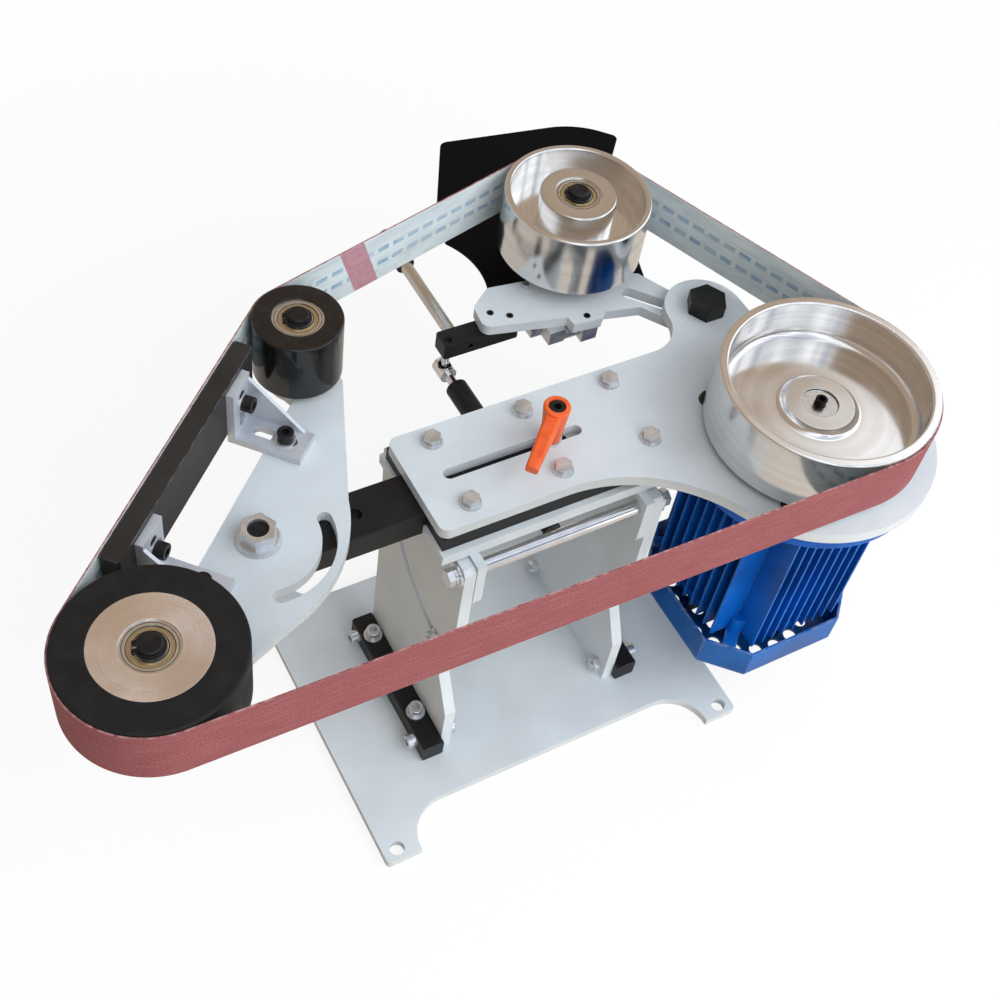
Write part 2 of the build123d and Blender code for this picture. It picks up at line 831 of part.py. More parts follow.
# Lock bolt through the arc slot, with its nut outside the upright
lock_grip = bracket_thickness + upright_thickness + 2 * slide_clearance
lock_bolt_length = lock_grip + lock_nut_height + lock_bolt_tail
with BuildPart() as tilt_lock_bolt:
    with Locations(Location((-bracket_inner_x, lock_rest_y, lock_rest_z), (0, 90, 0))):
        add(hex_bolt(lock_bolt_flats, lock_bolt_head, lock_bolt_diameter, lock_bolt_length))
    lock_nut_x = -upright_outer_x - slide_clearance
    with Locations(Location((lock_nut_x, lock_rest_y, lock_rest_z), (0, -90, 0))):
        add(
            hex_nut(
                lock_bolt_flats,
                lock_nut_height,
                lock_bolt_diameter,
                lock_nut_flange,
                lock_nut_flange_height,
            )
        )

# Channel bars that guide the tool arm
with BuildPart() as channel_bars:
    bar_depth = -channel_bar_front_y - channel_inner_y
    with BuildSketch(Plane.XY.offset(tilt_plate_top_z)):
        for side in (-1, 1):
            with Locations((0, side * (channel_inner_y + bar_depth / 2))):
                Rectangle(channel_bar_length, bar_depth)
        with Locations(*frame_bolt_places):
            Circle(frame_bolt_size / 2, mode=Mode.SUBTRACT)
    extrude(amount=channel_bar_height)

# Main plate: a straight deck, a round motor lobe and a small lobe for the tracking pivot
motor_bolt_places = [
    (
        drive_axis[0] + motor_bolt_circle / 2 * cos(radians(angle)),
        drive_axis[1] + motor_bolt_circle / 2 * sin(radians(angle)),
    )
    for angle in (45, 135, 225, 315)
]
with BuildPart() as main_plate:
    with BuildSketch(Plane.XY.offset(main_plate_bottom_z)) as deck:
        deck_length = drive_axis[0] - main_plate_left_x
        with Locations((main_plate_left_x + deck_length / 2, 0)):
            Rectangle(deck_length, main_plate_depth)
        with Locations(drive_axis):
            Circle(motor_lobe_radius)
        with Locations(tracking_pivot):
            Circle(pivot_lobe_radius)
        neck_depth = tracking_pivot[1]
        neck_right_x = tracking_pivot[0] + pivot_lobe_radius
        with Locations((neck_right_x - pivot_neck_width / 2, neck_depth / 2)):
            Rectangle(pivot_neck_width, neck_depth)
        front_corner = (drive_axis[0] - motor_lobe_radius, -main_plate_depth / 2)
        fillet(deck.vertices().sort_by_distance(front_corner)[0], motor_lobe_fillet)
        back_corner = (tracking_pivot[0] - pivot_lobe_radius, main_plate_depth / 2)
        fillet(deck.vertices().sort_by_distance(back_corner)[0], pivot_lobe_fillet)
        right_corner = (neck_right_x, drive_axis[1] + motor_lobe_radius)
        fillet(deck.vertices().sort_by_distance(right_corner)[0], pivot_neck_fillet)
        left_corners = deck.vertices().group_by(Axis.X)[0]
        fillet(left_corners, main_plate_corner_radius)
        with Locations(((adjust_slot_left_x + adjust_slot_right_x) / 2, 0)):
            SlotOverall(adjust_slot_right_x - adjust_slot_left_x, adjust_slot_width, mode=Mode.SUBTRACT)
        with Locations(*frame_bolt_places):
            Circle(frame_bolt_size / 2, mode=Mode.SUBTRACT)
        with Locations(drive_axis):
            Circle(motor_pilot_diameter / 2 + screw_clearance, mode=Mode.SUBTRACT)
        with Locations(*motor_bolt_places):
            Circle(motor_bolt_size / 2, mode=Mode.SUBTRACT)
        with Locations(tracking_pivot):
            Circle(tracking_bolt_diameter / 2, mode=Mode.SUBTRACT)
    extrude(amount=main_plate_thickness)

# Flange bolts through the whole stack
stack_height = main_plate_top_z - tilt_plate_bottom_z
with BuildPart() as frame_bolts:
    frame_bolt = hex_bolt(
        frame_bolt_flats,
        frame_bolt_head,
        frame_bolt_size,
        stack_height - screw_end_gap,
        frame_bolt_flange,
        frame_bolt_flange_height,
    )
    with Locations(*[(x, y, main_plate_top_z) for x, y in frame_bolt_places]):
        add(frame_bolt)

# Motor flange with its pilot, under the main plate
shaft_hole_radius = motor_shaft_diameter / 2 + motor_shaft_room
with BuildPart() as motor_flange:
    with BuildSketch(Plane.XY.offset(motor_flange_bottom_z)):
        with Locations(drive_axis):
            Circle(motor_flange_diameter / 2)
        with Locations(*motor_bolt_places):
            Circle(motor_bolt_size / 2, mode=Mode.SUBTRACT)
    extrude(amount=motor_flange_thickness)
    with BuildSketch(Plane.XY.offset(main_plate_bottom_z)):
        with Locations(drive_axis):
            Circle(motor_pilot_diameter / 2)
    extrude(amount=motor_pilot_height)
    with BuildSketch(Plane.XY.offset(motor_flange_bottom_z)):
        with Locations(drive_axis):
            Circle(motor_bearing_outer / 2)
    extrude(amount=motor_bearing_width - motor_bearing_sink, mode=Mode.SUBTRACT)
    with BuildSketch(Plane.XY.offset(motor_flange_bottom_z)):
        with Locations(drive_axis):
            Circle(shaft_hole_radius)
    extrude(amount=motor_flange_thickness + motor_pilot_height, mode=Mode.SUBTRACT)

# Motor housing: round core, parallel fins on four sides, closed below, with a rim and four cowl lugs
low_bearing_z = motor_body_bottom_z + motor_bearing_sink
high_bearing_z = motor_flange_bottom_z - motor_bearing_sink
with BuildPart() as motor_housing:
    with BuildSketch(Plane.XY.offset(motor_body_bottom_z)):
        with Locations(drive_axis):
            Circle(motor_body_radius)
            fin_middle = (motor_body_radius / 2 + motor_fin_reach) / 2
            fin_length = motor_fin_reach - motor_body_radius / 2
            for quarter in range(4):
                for fin in range(motor_fin_count):
                    offset_y = (fin - (motor_fin_count - 1) / 2) * motor_fin_pitch
                    turn = radians(90 * quarter)
                    fin_x = fin_middle * cos(turn) - offset_y * sin(turn)
                    fin_y = fin_middle * sin(turn) + offset_y * cos(turn)
                    with Locations((fin_x, fin_y)):
                        Rectangle(fin_length, motor_fin_thickness, rotation=90 * quarter)
    extrude(amount=motor_body_length)
    with BuildSketch(Plane.XY.offset(motor_body_bottom_z)):
        with Locations(drive_axis):
            Circle(motor_rim_radius)
    extrude(amount=motor_rim_height)
    with BuildSketch(Plane.XY.offset(motor_body_bottom_z)):
        with Locations(drive_axis):
            with PolarLocations(motor_lug_place, 4, start_angle=45):
                Circle(motor_lug_radius)
    extrude(amount=motor_lug_height)
    with BuildSketch(Plane.XY.offset(motor_body_bottom_z + motor_end_shield)):
        with Locations(drive_axis):
            Circle(motor_body_radius - motor_wall)
    extrude(amount=motor_body_length, mode=Mode.SUBTRACT)
    with BuildSketch(Plane.XY.offset(low_bearing_z)):
        with Locations(drive_axis):
            Circle(motor_bearing_outer / 2)
    extrude(amount=motor_end_shield, mode=Mode.SUBTRACT)
    with BuildSketch(Plane.XY.offset(motor_body_bottom_z)):
        with Locations(drive_axis):
            Circle(shaft_hole_radius)
    extrude(amount=motor_end_shield, mode=Mode.SUBTRACT)

# Fan cowl: a square cup with cut corners, a rounded lower rim, an air grille and four tabs
with BuildPart() as motor_cowl:
    corner_cut = (cowl_width / 2 * 2**0.5 - cowl_corner_flat) * 2**0.5
    with BuildSketch(Plane.XY.offset(cowl_bottom_z)) as cup:
        with Locations(drive_axis):
            Rectangle(cowl_width, cowl_width)
        chamfer(cup.vertices(), length=corner_cut)
    extrude(amount=cowl_top_z - cowl_bottom_z)
    fillet(motor_cowl.edges().group_by(Axis.Z)[0], cowl_rim_radius)
    offset(amount=-cowl_wall, openings=motor_cowl.faces().sort_by(Axis.Z)[-1])
    with BuildSketch(Plane.XY.offset(cowl_bottom_z)):
        with Locations(drive_axis):
            for ring_radius in cowl_hole_rings:
                with PolarLocations(ring_radius, int(6.28 * ring_radius // cowl_hole_spacing)):
                    Circle(cowl_hole_radius)
    extrude(amount=2 * cowl_wall, mode=Mode.SUBTRACT)
    tab_outer = cowl_corner_flat - cowl_wall / 2
    tab_inner = motor_lug_place + motor_lug_radius / 2
    with BuildSketch(Plane.XY.offset(cowl_top_z - cowl_wall)):
        with Locations(drive_axis):
            with PolarLocations((tab_outer + tab_inner) / 2, 4, start_angle=45):
                Rectangle(tab_outer - tab_inner, cowl_tab_width)
    extrude(amount=motor_body_bottom_z - cowl_top_z + cowl_wall)

# Stator, bearings, shaft, rotor and fan inside the motor
stator_bottom_z = motor_body_bottom_z + motor_end_shield + stator_lift
stator_bore = motor_body_radius - motor_wall - stator_wall
with BuildPart() as motor_stator:
    with BuildSketch(Plane.XY.offset(stator_bottom_z)):
        with Locations(drive_axis):
            Circle(motor_body_radius - motor_wall)
            Circle(stator_bore, mode=Mode.SUBTRACT)
    extrude(amount=stator_length)

with BuildPart() as motor_bearings:
    for low_z in (low_bearing_z, high_bearing_z):
        with BuildSketch(Plane.XY.offset(low_z)):
            with Locations(drive_axis):
                Circle(motor_bearing_outer / 2 - running_clearance)
                Circle(motor_bearing_bore / 2, mode=Mode.SUBTRACT)
        extrude(amount=motor_bearing_width)

drive_top_z = wheel_bottom_z + rim_wheel_width
drive_floor_z = drive_top_z - drive_dish_depth
drive_recess_z = drive_floor_z + drive_boss_height - drive_boss_recess
shaft_top_z = drive_recess_z - screw_end_gap
fan_bottom_z = cowl_bottom_z + fan_floor_gap
fan_shaft_radius = motor_shaft_diameter / 2 - motor_shaft_room
with BuildPart() as motor_shaft:
    with BuildSketch(Plane.XY.offset(fan_bottom_z)):
        with Locations(drive_axis):
            Circle(fan_shaft_radius)
    extrude(amount=shaft_top_z - fan_bottom_z)
    with BuildSketch(Plane.XY.offset(low_bearing_z)):
        with Locations(drive_axis):
            Circle(motor_shaft_diameter / 2)
    extrude(amount=shaft_top_z - low_bearing_z)
    for low_z in (low_bearing_z, high_bearing_z):
        with BuildSketch(Plane.XY.offset(low_z)):
            with Locations(drive_axis):
                Circle(motor_bearing_bore / 2 - running_clearance)
        extrude(amount=motor_bearing_width)
    with BuildSketch(Plane.XY.offset(shaft_top_z)):
        with Locations(drive_axis):
            Circle(drive_screw_size / 2)
    extrude(amount=-drive_screw_length, mode=Mode.SUBTRACT)

with BuildPart() as motor_rotor:
    with BuildSketch(Plane.XY.offset(stator_bottom_z)):
        with Locations(drive_axis):
            Circle(stator_bore - rotor_gap)
            Circle(motor_shaft_diameter / 2, mode=Mode.SUBTRACT)
    extrude(amount=stator_length)

with BuildPart() as motor_fan:
    with BuildSketch(Plane.XY.offset(fan_bottom_z)):
        with Locations(drive_axis):
            Circle(fan_hub_radius)
    extrude(amount=fan_height)
    with BuildSketch(Plane.XY.offset(fan_bottom_z + fan_height - fan_thickness)):
        with Locations(drive_axis):
            Circle(fan_radius)
    extrude(amount=fan_thickness)
    with BuildSketch(Plane.XY.offset(fan_bottom_z)):
        with Locations(drive_axis):
            with PolarLocations((fan_hub_radius + fan_radius) / 2, fan_blade_count):
                Rectangle(fan_radius - fan_hub_radius + fan_thickness, fan_thickness)
    extrude(amount=fan_height)
    with BuildSketch(Plane.XY.offset(fan_bottom_z)):
        with Locations(drive_axis):
            Circle(fan_shaft_radius)
    extrude(amount=fan_height, mode=Mode.SUBTRACT)

# Low button screws that hold the motor to the main plate
with BuildPart() as motor_bolts:
    with BuildSketch(Plane.XY.offset(main_plate_top_z)):
        with Locations(*motor_bolt_places):
            Circle(motor_bolt_head_diameter / 2)
    extrude(amount=motor_bolt_head, taper=motor_bolt_taper)
    with BuildSketch(Plane.XY.offset(main_plate_top_z)):
        with Locations(*motor_bolt_places):
            Circle(motor_bolt_size / 2 - screw_clearance)
    extrude(amount=screw_end_gap - main_plate_thickness - motor_flange_thickness)
    with BuildSketch(Plane.XY.offset(main_plate_top_z + motor_bolt_head)):
        with Locations(*motor_bolt_places):
            RegularPolygon(radius=motor_bolt_key / 2, side_count=6, major_radius=False)
    extrude(amount=-motor_bolt_head / 2, mode=Mode.SUBTRACT)

# Terminal box behind the motor, with its lid and cable gland
terminal_front_y = drive_axis[1] + motor_fin_reach
terminal_back_y = terminal_front_y + terminal_box_depth
terminal_bottom_z = terminal_box_middle_z - terminal_box_height / 2
with BuildPart() as terminal_box:
    with BuildSketch(Plane.XZ.offset(-terminal_front_y)):
        with Locations((drive_axis[0], terminal_box_middle_z)):
            RectangleRounded(terminal_box_width, terminal_box_height, terminal_corner)
    extrude(amount=-terminal_box_depth)
    with BuildSketch(Plane.XZ.offset(-terminal_back_y)):
        with Locations((drive_axis[0], terminal_box_middle_z)):
            RectangleRounded(
                terminal_box_width - 2 * terminal_wall,
                terminal_box_height - 2 * terminal_wall,
                terminal_corner - terminal_wall,
            )
    extrude(amount=terminal_box_depth - terminal_wall, mode=Mode.SUBTRACT)
    with BuildSketch(Plane.XZ.offset(-terminal_back_y - seat_gap)):
        with Locations((drive_axis[0], terminal_box_middle_z)):
            RectangleRounded(terminal_box_width, terminal_box_height, terminal_corner)
    extrude(amount=-terminal_lid_thickness)
    chamfer(terminal_box.faces().sort_by(Axis.Y)[-1].edges(), length=terminal_lid_chamfer)

with BuildPart() as cable_gland:
    gland_y = terminal_front_y + terminal_box_depth / 2
    with BuildSketch(Plane.XY.offset(terminal_bottom_z)):
        with Locations((drive_axis[0], gland_y)):
            RegularPolygon(radius=gland_nut_flats / 2, side_count=6, major_radius=False)
    extrude(amount=-gland_nut_height)
    with BuildSketch(Plane.XY.offset(terminal_bottom_z)):
        with Locations((drive_axis[0], gland_y)):
            Circle(gland_diameter / 2)
            Circle(gland_bore / 2, mode=Mode.SUBTRACT)
    extrude(amount=-gland_length)

# Drive wheel: a polished bowl with a raised boss
with BuildPart() as drive_wheel:
    with BuildSketch(Plane.XY.offset(wheel_bottom_z)):
        with Locations(drive_axis):
            Circle(drive_radius)
    extrude(amount=rim_wheel_width)
    with BuildSketch(Plane.XY.offset(drive_top_z)):
        with Locations(drive_axis):
            Circle(drive_radius - drive_rim)
    extrude(amount=-drive_dish_depth, mode=Mode.SUBTRACT)
    with BuildSketch(Plane.XY.offset(drive_floor_z)):
        with Locations(drive_axis):
            Circle(drive_boss_radius)
    extrude(amount=drive_boss_height, taper=drive_boss_taper)
    bowl_edges = drive_wheel.edges().filter_by_position(
        Axis.Z, drive_floor_z - seat_gap, drive_floor_z + seat_gap
    )
    fillet(bowl_edges.filter_by(GeomType.CIRCLE), drive_bowl_fillet)
    with BuildSketch(Plane.XY.offset(drive_floor_z + drive_boss_height)):
        with Locations(drive_axis):
            Circle(drive_boss_recess_radius)
    extrude(amount=-drive_boss_recess, mode=Mode.SUBTRACT)
    with BuildSketch(Plane.XY.offset(wheel_bottom_z)):
        with Locations(drive_axis):
            Circle(drive_radius - drive_rim)
            Circle(drive_hub_radius, mode=Mode.SUBTRACT)
    extrude(amount=rim_wheel_width - drive_dish_depth - drive_web, mode=Mode.SUBTRACT)
    with BuildSketch(Plane.XY.offset(wheel_bottom_z)):
        with Locations(drive_axis):
            Circle(motor_shaft_diameter / 2 + screw_clearance)
    extrude(amount=rim_wheel_width, mode=Mode.SUBTRACT)
    rim_edges = drive_wheel.edges().group_by(Axis.Z)[-1]
    fillet(rim_edges, wheel_edge_radius)

drive_washer_diameter = 2 * drive_boss_recess_radius - drive_washer_room
with BuildPart() as drive_wheel_screw:
    with Locations((*drive_axis, drive_recess_z)):
        add(washer(drive_screw_size, drive_washer_diameter, drive_washer_thickness))
    with Locations((*drive_axis, drive_recess_z + drive_washer_thickness + seat_gap)):
        add(socket_screw(drive_screw_size, drive_screw_length))

# Contact wheel: rubber tyre on an aluminium hub
with BuildPart() as contact_wheel_tyre:
    with BuildSketch(Plane.XY.offset(wheel_bottom_z)):
        with Locations(contact_axis):
            Circle(contact_radius)
            Circle(contact_hub_radius, mode=Mode.SUBTRACT)
    extrude(amount=roller_width)
    round_edges = contact_wheel_tyre.edges().filter_by(GeomType.CIRCLE)
    fillet(round_edges.filter_by(lambda edge: edge.radius > contact_hub_radius), wheel_edge_radius)

with BuildPart() as contact_wheel_hub:
    with BuildSketch(Plane.XY.offset(wheel_bottom_z)):
        with Locations(contact_axis):
            Circle(contact_hub_radius - running_clearance)
    extrude(amount=roller_width)
    add(bearing_seats(contact_axis, roller_width), mode=Mode.SUBTRACT)
contact_bearings = wheel_bearings(contact_axis, roller_width)

# Idler wheel
with BuildPart() as idler_wheel:
    with BuildSketch(Plane.XY.offset(wheel_bottom_z)):
        with Locations(idler_axis):
            Circle(idler_radius)
    extrude(amount=roller_width)
    fillet(idler_wheel.edges().filter_by(GeomType.CIRCLE), wheel_edge_radius)
    add(bearing_seats(idler_axis, roller_width), mode=Mode.SUBTRACT)
idler_bearings = wheel_bearings(idler_axis, roller_width)

# Tracking wheel: rim, deep dish and a boss round the bearing
tracking_top_z = wheel_bottom_z + rim_wheel_width
with BuildPart() as tracking_wheel:
    with BuildSketch(Plane.XY.offset(wheel_bottom_z)):
        with Locations(tracking_axis):
            Circle(tracking_radius)
    extrude(amount=rim_wheel_width)
    for face_z, depth in ((tracking_top_z, -tracking_dish_depth), (wheel_bottom_z, tracking_under_depth)):
        with BuildSketch(Plane.XY.offset(face_z)):
            with Locations(tracking_axis):
                Circle(tracking_radius - tracking_rim)
                Circle(tracking_boss_radius, mode=Mode.SUBTRACT)
        extrude(amount=depth, mode=Mode.SUBTRACT)
    fillet(tracking_wheel.edges().group_by(Axis.Z)[-1], wheel_edge_radius)
    add(bearing_seats(tracking_axis, rim_wheel_width), mode=Mode.SUBTRACT)
tracking_bearings = wheel_bearings(tracking_axis, rim_wheel_width)

# Belt round the four wheels
belt_wheels = (
    (contact_axis, contact_radius),
    (idler_axis, idler_radius),
    (tracking_axis, tracking_radius),
    (drive_axis, drive_radius),
)
with BuildPart() as sanding_belt:
    for growth, kind in ((belt_inner_gap + belt_thickness, Mode.ADD), (belt_inner_gap, Mode.SUBTRACT)):
        with BuildSketch(Plane.XY.offset(belt_bottom_z)):
            for centre, radius in belt_wheels:
                with Locations(centre):
                    Circle(radius + growth)
            make_hull()
        extrude(amount=belt_width, mode=kind)

# Tool arm bar
with BuildPart() as tool_arm:
    with BuildSketch(Plane.XY.offset(tool_arm_bottom_z)):
        with Locations(((tool_arm_left_x + tool_arm_right_x) / 2, 0)):
            Rectangle(tool_arm_right_x - tool_arm_left_x, tool_arm_width)
        with Locations((tool_arm_hole_x, 0)):
            Circle(tool_arm_hole_diameter / 2, mode=Mode.SUBTRACT)
        with Locations((lever_x, 0)):
            Circle(lever_stud_diameter / 2, mode=Mode.SUBTRACT)
        with Locations(arm_pivot):
            Circle(arm_pivot_stud_diameter / 2, mode=Mode.SUBTRACT)
    extrude(amount=tool_arm_height)
    chamfer(tool_arm.edges().filter_by(Axis.X), length=1)

# Ratchet lever: stud with washer, handle and its screw
lever_bottom_z = main_plate_top_z + slide_clearance + lever_washer_thickness
lever_top_z = lever_bottom_z + lever_hub_height
lever_bore_top_z = lever_top_z - lever_crown
with BuildPart() as lever_stud:
    with BuildSketch(Plane.XY.offset(tool_arm_bottom_z)):
        with Locations((lever_x, 0)):
            Circle(lever_stud_diameter / 2 - running_clearance)
    extrude(amount=lever_bore_top_z - screw_end_gap - tool_arm_bottom_z)
    with BuildSketch(Plane.XY.offset(main_plate_top_z + slide_clearance)):
        with Locations((lever_x, 0)):
            Circle(lever_washer_diameter / 2)
    extrude(amount=lever_washer_thickness - slide_clearance)


def lever_place(reach, drop):
    """A place on the lever's arm, by its reach from the stud and its drop from the hub's top."""
    angle = radians(lever_direction)
    return (lever_x + reach * cos(angle), reach * sin(angle), lever_top_z - drop)


with BuildPart() as lever_handle:
    with Locations((lever_x, 0, lever_bottom_z)):
        Cone(
            lever_neck_radius,
            lever_hub_radius,
            lever_hub_height,
            align=(Align.CENTER, Align.CENTER, Align.MIN),
        )
    fillet(lever_handle.edges().group_by(Axis.Z)[-1], lever_hub_edge)
    root = Vector(lever_place(lever_root_reach, lever_root_drop))
    tip = Vector(lever_place(lever_tip_reach, lever_tip_drop))
    across = (-sin(radians(lever_direction)), cos(radians(lever_direction)), 0)
    with BuildSketch(Plane(origin=root, x_dir=across, z_dir=tip - root)):
        RectangleRounded(lever_root_width, lever_root_thickness, lever_arm_radius)
    with BuildSketch(Plane(origin=tip, x_dir=across, z_dir=tip - root)):
        RectangleRounded(lever_tip_width, lever_tip_thickness, lever_arm_radius)
    loft()
    with BuildSketch(Plane.XY.offset(lever_top_z)):
        with Locations((lever_x, 0)):
            Circle(0.8 * lever_screw_size + lever_screw_room)
    extrude(amount=-lever_screw_sink, mode=Mode.SUBTRACT)
    with BuildSketch(Plane.XY.offset(lever_bottom_z)):
        with Locations((lever_x, 0)):
            Circle(lever_stud_diameter / 2)
    extrude(amount=lever_hub_height - lever_screw_sink, mode=Mode.SUBTRACT)

with BuildPart() as lever_screw:
    with Locations((lever_x, 0, lever_top_z - lever_screw_sink)):
        add(socket_screw(lever_screw_size, lever_crown - lever_screw_sink - screw_end_gap))

# Pivot of the platen arm: stud through the tool arm and a flange nut on top
arm_nut_bottom_z = arm_plate_top_z + slide_clearance
with BuildPart() as arm_pivot_stud:
    with BuildSketch(Plane.XY.offset(tool_arm_bottom_z)):
        with Locations(arm_pivot):
            Circle(arm_pivot_stud_diameter / 2 - running_clearance)
    extrude(amount=arm_nut_bottom_z + arm_nut_height - arm_stud_recess - tool_arm_bottom_z)

with BuildPart() as arm_flange_nut:
    with Locations((*arm_pivot, arm_nut_bottom_z)):
        add(
            hex_nut(
                arm_nut_flats, arm_nut_height, arm_pivot_stud_diameter, arm_nut_flange, arm_nut_flange_height
            )
        )

# Platen arm plate: two wheel lobes, a rounded belly and the arc slot
with BuildPart() as arm_plate:
    with BuildSketch(Plane.XY.offset(arm_plate_bottom_z)) as arm_outline:
        belly_right = step_from(arm_pivot, arm_belly_right)
        belly_low = step_from(arm_pivot, arm_belly_low)
        belly_end = step_from(arm_pivot, arm_belly_end)
        shoulder = step_from(idler_axis, arm_shoulder_step)
        with BuildLine():
            Line(shoulder, belly_right)
            ThreePointArc(belly_right, belly_low, belly_end)
            Polyline(
                belly_end,
                (contact_axis[0], contact_axis[1] - arm_contact_lobe_radius),
                (contact_axis[0] - arm_contact_lobe_radius, contact_axis[1]),
                beside_run(arm_edge_bend, angle_screw_place + arm_edge_margin),
                beside_run(arm_edge_end, angle_screw_place + arm_edge_margin),
                (idler_axis[0] - arm_idler_lobe_radius, idler_axis[1]),
                (idler_axis[0] + arm_idler_lobe_radius, idler_axis[1]),
                shoulder,
            )
        make_face()
        with Locations(contact_axis):
            Circle(arm_contact_lobe_radius)
        with Locations(idler_axis):
            Circle(arm_idler_lobe_radius)
        with Locations(arm_pivot):
            Circle(arm_pivot_stud_diameter / 2, mode=Mode.SUBTRACT)
        with Locations(contact_axis, idler_axis):
            Circle(bearing_bore / 2, mode=Mode.SUBTRACT)
        with Locations(*angle_tap_places):
            Circle(angle_screw_size / 2, mode=Mode.SUBTRACT)
        with BuildLine(mode=Mode.PRIVATE) as arm_slot_line:
            CenterArc(arm_pivot, arm_slot_radius, arm_slot_start, arm_slot_end - arm_slot_start)
        SlotArc(arm_slot_line.edge(), arm_slot_width, mode=Mode.SUBTRACT)
    extrude(amount=arm_plate_thickness)

# Platen behind the belt's straight run, with two angle brackets and their screws
with BuildPart() as platen_bar:
    with BuildSketch(platen_frame.offset(platen_lift)):
        with Locations(((platen_start + platen_end) / 2, (platen_outer + platen_inner) / 2)):
            Rectangle(platen_end - platen_start, platen_thickness)
    extrude(amount=platen_height)
    chamfer(platen_bar.edges().filter_by(Axis.Z), length=platen_chamfer)
    for along in angle_positions:
        with Locations(platen_frame * Location((along, platen_inner, angle_screw_height), (90, 0, 0))):
            Cylinder(angle_screw_size / 2, 2 * (platen_thickness - platen_skin), mode=Mode.SUBTRACT)


def platen_angle(along, gusset_side):
    foot_end = platen_inner - angle_foot_length
    with BuildPart() as angle:
        with BuildSketch(platen_frame):
            with Locations((along, (platen_inner + foot_end) / 2)):
                Rectangle(angle_width, angle_foot_length)
            with Locations((along, platen_inner - angle_slot_reach)):
                SlotOverall(angle_slot_length, angle_slot_width, rotation=90, mode=Mode.SUBTRACT)
        extrude(amount=angle_thickness)
        with BuildSketch(platen_frame):
            with Locations((along, (platen_inner + angle_wall_inner) / 2)):
                Rectangle(angle_width, angle_thickness)
        extrude(amount=angle_height)
        gusset_plane = Plane(
            origin=platen_frame.from_local_coords(Vector(along + gusset_side * angle_width / 2, 0, 0)),
            x_dir=platen_frame.y_dir,
            z_dir=platen_frame.x_dir,
        )
        with BuildSketch(gusset_plane):
            with BuildLine():
                Polyline(
                    (angle_wall_inner, angle_thickness),
                    (angle_wall_inner, angle_height - angle_gusset_drop),
                    (foot_end + angle_gusset_end, angle_thickness),
                    close=True,
                )
            make_face()
        extrude(amount=-gusset_side * angle_gusset_thickness)
        wall_plane = Plane(
            origin=platen_frame.from_local_coords(Vector(along, platen_inner, angle_wall_slot_height)),
            x_dir=platen_frame.z_dir,
            z_dir=platen_frame.y_dir,
        )
        with BuildSketch(wall_plane):
            SlotOverall(angle_wall_slot_length, angle_slot_width)
        extrude(amount=-angle_thickness, mode=Mode.SUBTRACT)
    return angle.part


with BuildPart() as platen_brackets:
    for along, gusset_side in zip(angle_positions, angle_gusset_sides):
        add(platen_angle(along, gusset_side))

foot_washer_top = angle_thickness + angle_washer_thickness
wall_washer_face = angle_wall_inner - angle_washer_thickness
with BuildPart() as bracket_screws:
    foot_screw = socket_screw(angle_screw_size, foot_washer_top + arm_plate_thickness - screw_end_gap)
    wall_length = foot_washer_top + platen_thickness - platen_skin - screw_end_gap
    wall_screw = socket_screw(angle_screw_size, wall_length)
    for along in angle_positions:
        with Locations(platen_frame * Location((along, angle_screw_place, foot_washer_top))):
            add(foot_screw)
        with Locations(platen_frame * Location((along, wall_washer_face, angle_screw_height), (90, 0, 0))):
            add(wall_screw)

with BuildPart() as bracket_washers:
    angle_washer = washer(angle_screw_size, angle_washer_diameter, angle_washer_thickness)
    for along in angle_positions:
        with Locations(platen_frame * Location((along, angle_screw_place, angle_thickness))):
            add(angle_washer)
        with Locations(platen_frame * Location((along, angle_wall_inner, angle_screw_height), (90, 0, 0))):
            add(angle_washer)

# Axles of the contact and idler wheels
with BuildPart() as arm_axles:
    add(wheel_axle(contact_axis, arm_plate_bottom_z, arm_plate_top_z, roller_width))
    add(wheel_axle(idler_axis, arm_plate_bottom_z, arm_plate_top_z, roller_width))

# Tracking pivot: a large hex bolt through the main plate and the arm, with its nut below
with BuildPart() as tracking_pivot_bolt:
    nut_top_z = tracking_arm_bottom_z - slide_clearance
    shank_length = main_plate_top_z - nut_top_z + tracking_nut_height
    with Locations((*tracking_pivot, main_plate_top_z)):
        add(hex_bolt(tracking_bolt_flats, tracking_bolt_head, tracking_bolt_diameter, shank_length))
    with Locations((*tracking_pivot, nut_top_z - tracking_nut_height)):
        add(hex_nut(tracking_nut_flats, tracking_nut_height, tracking_bolt_diameter))

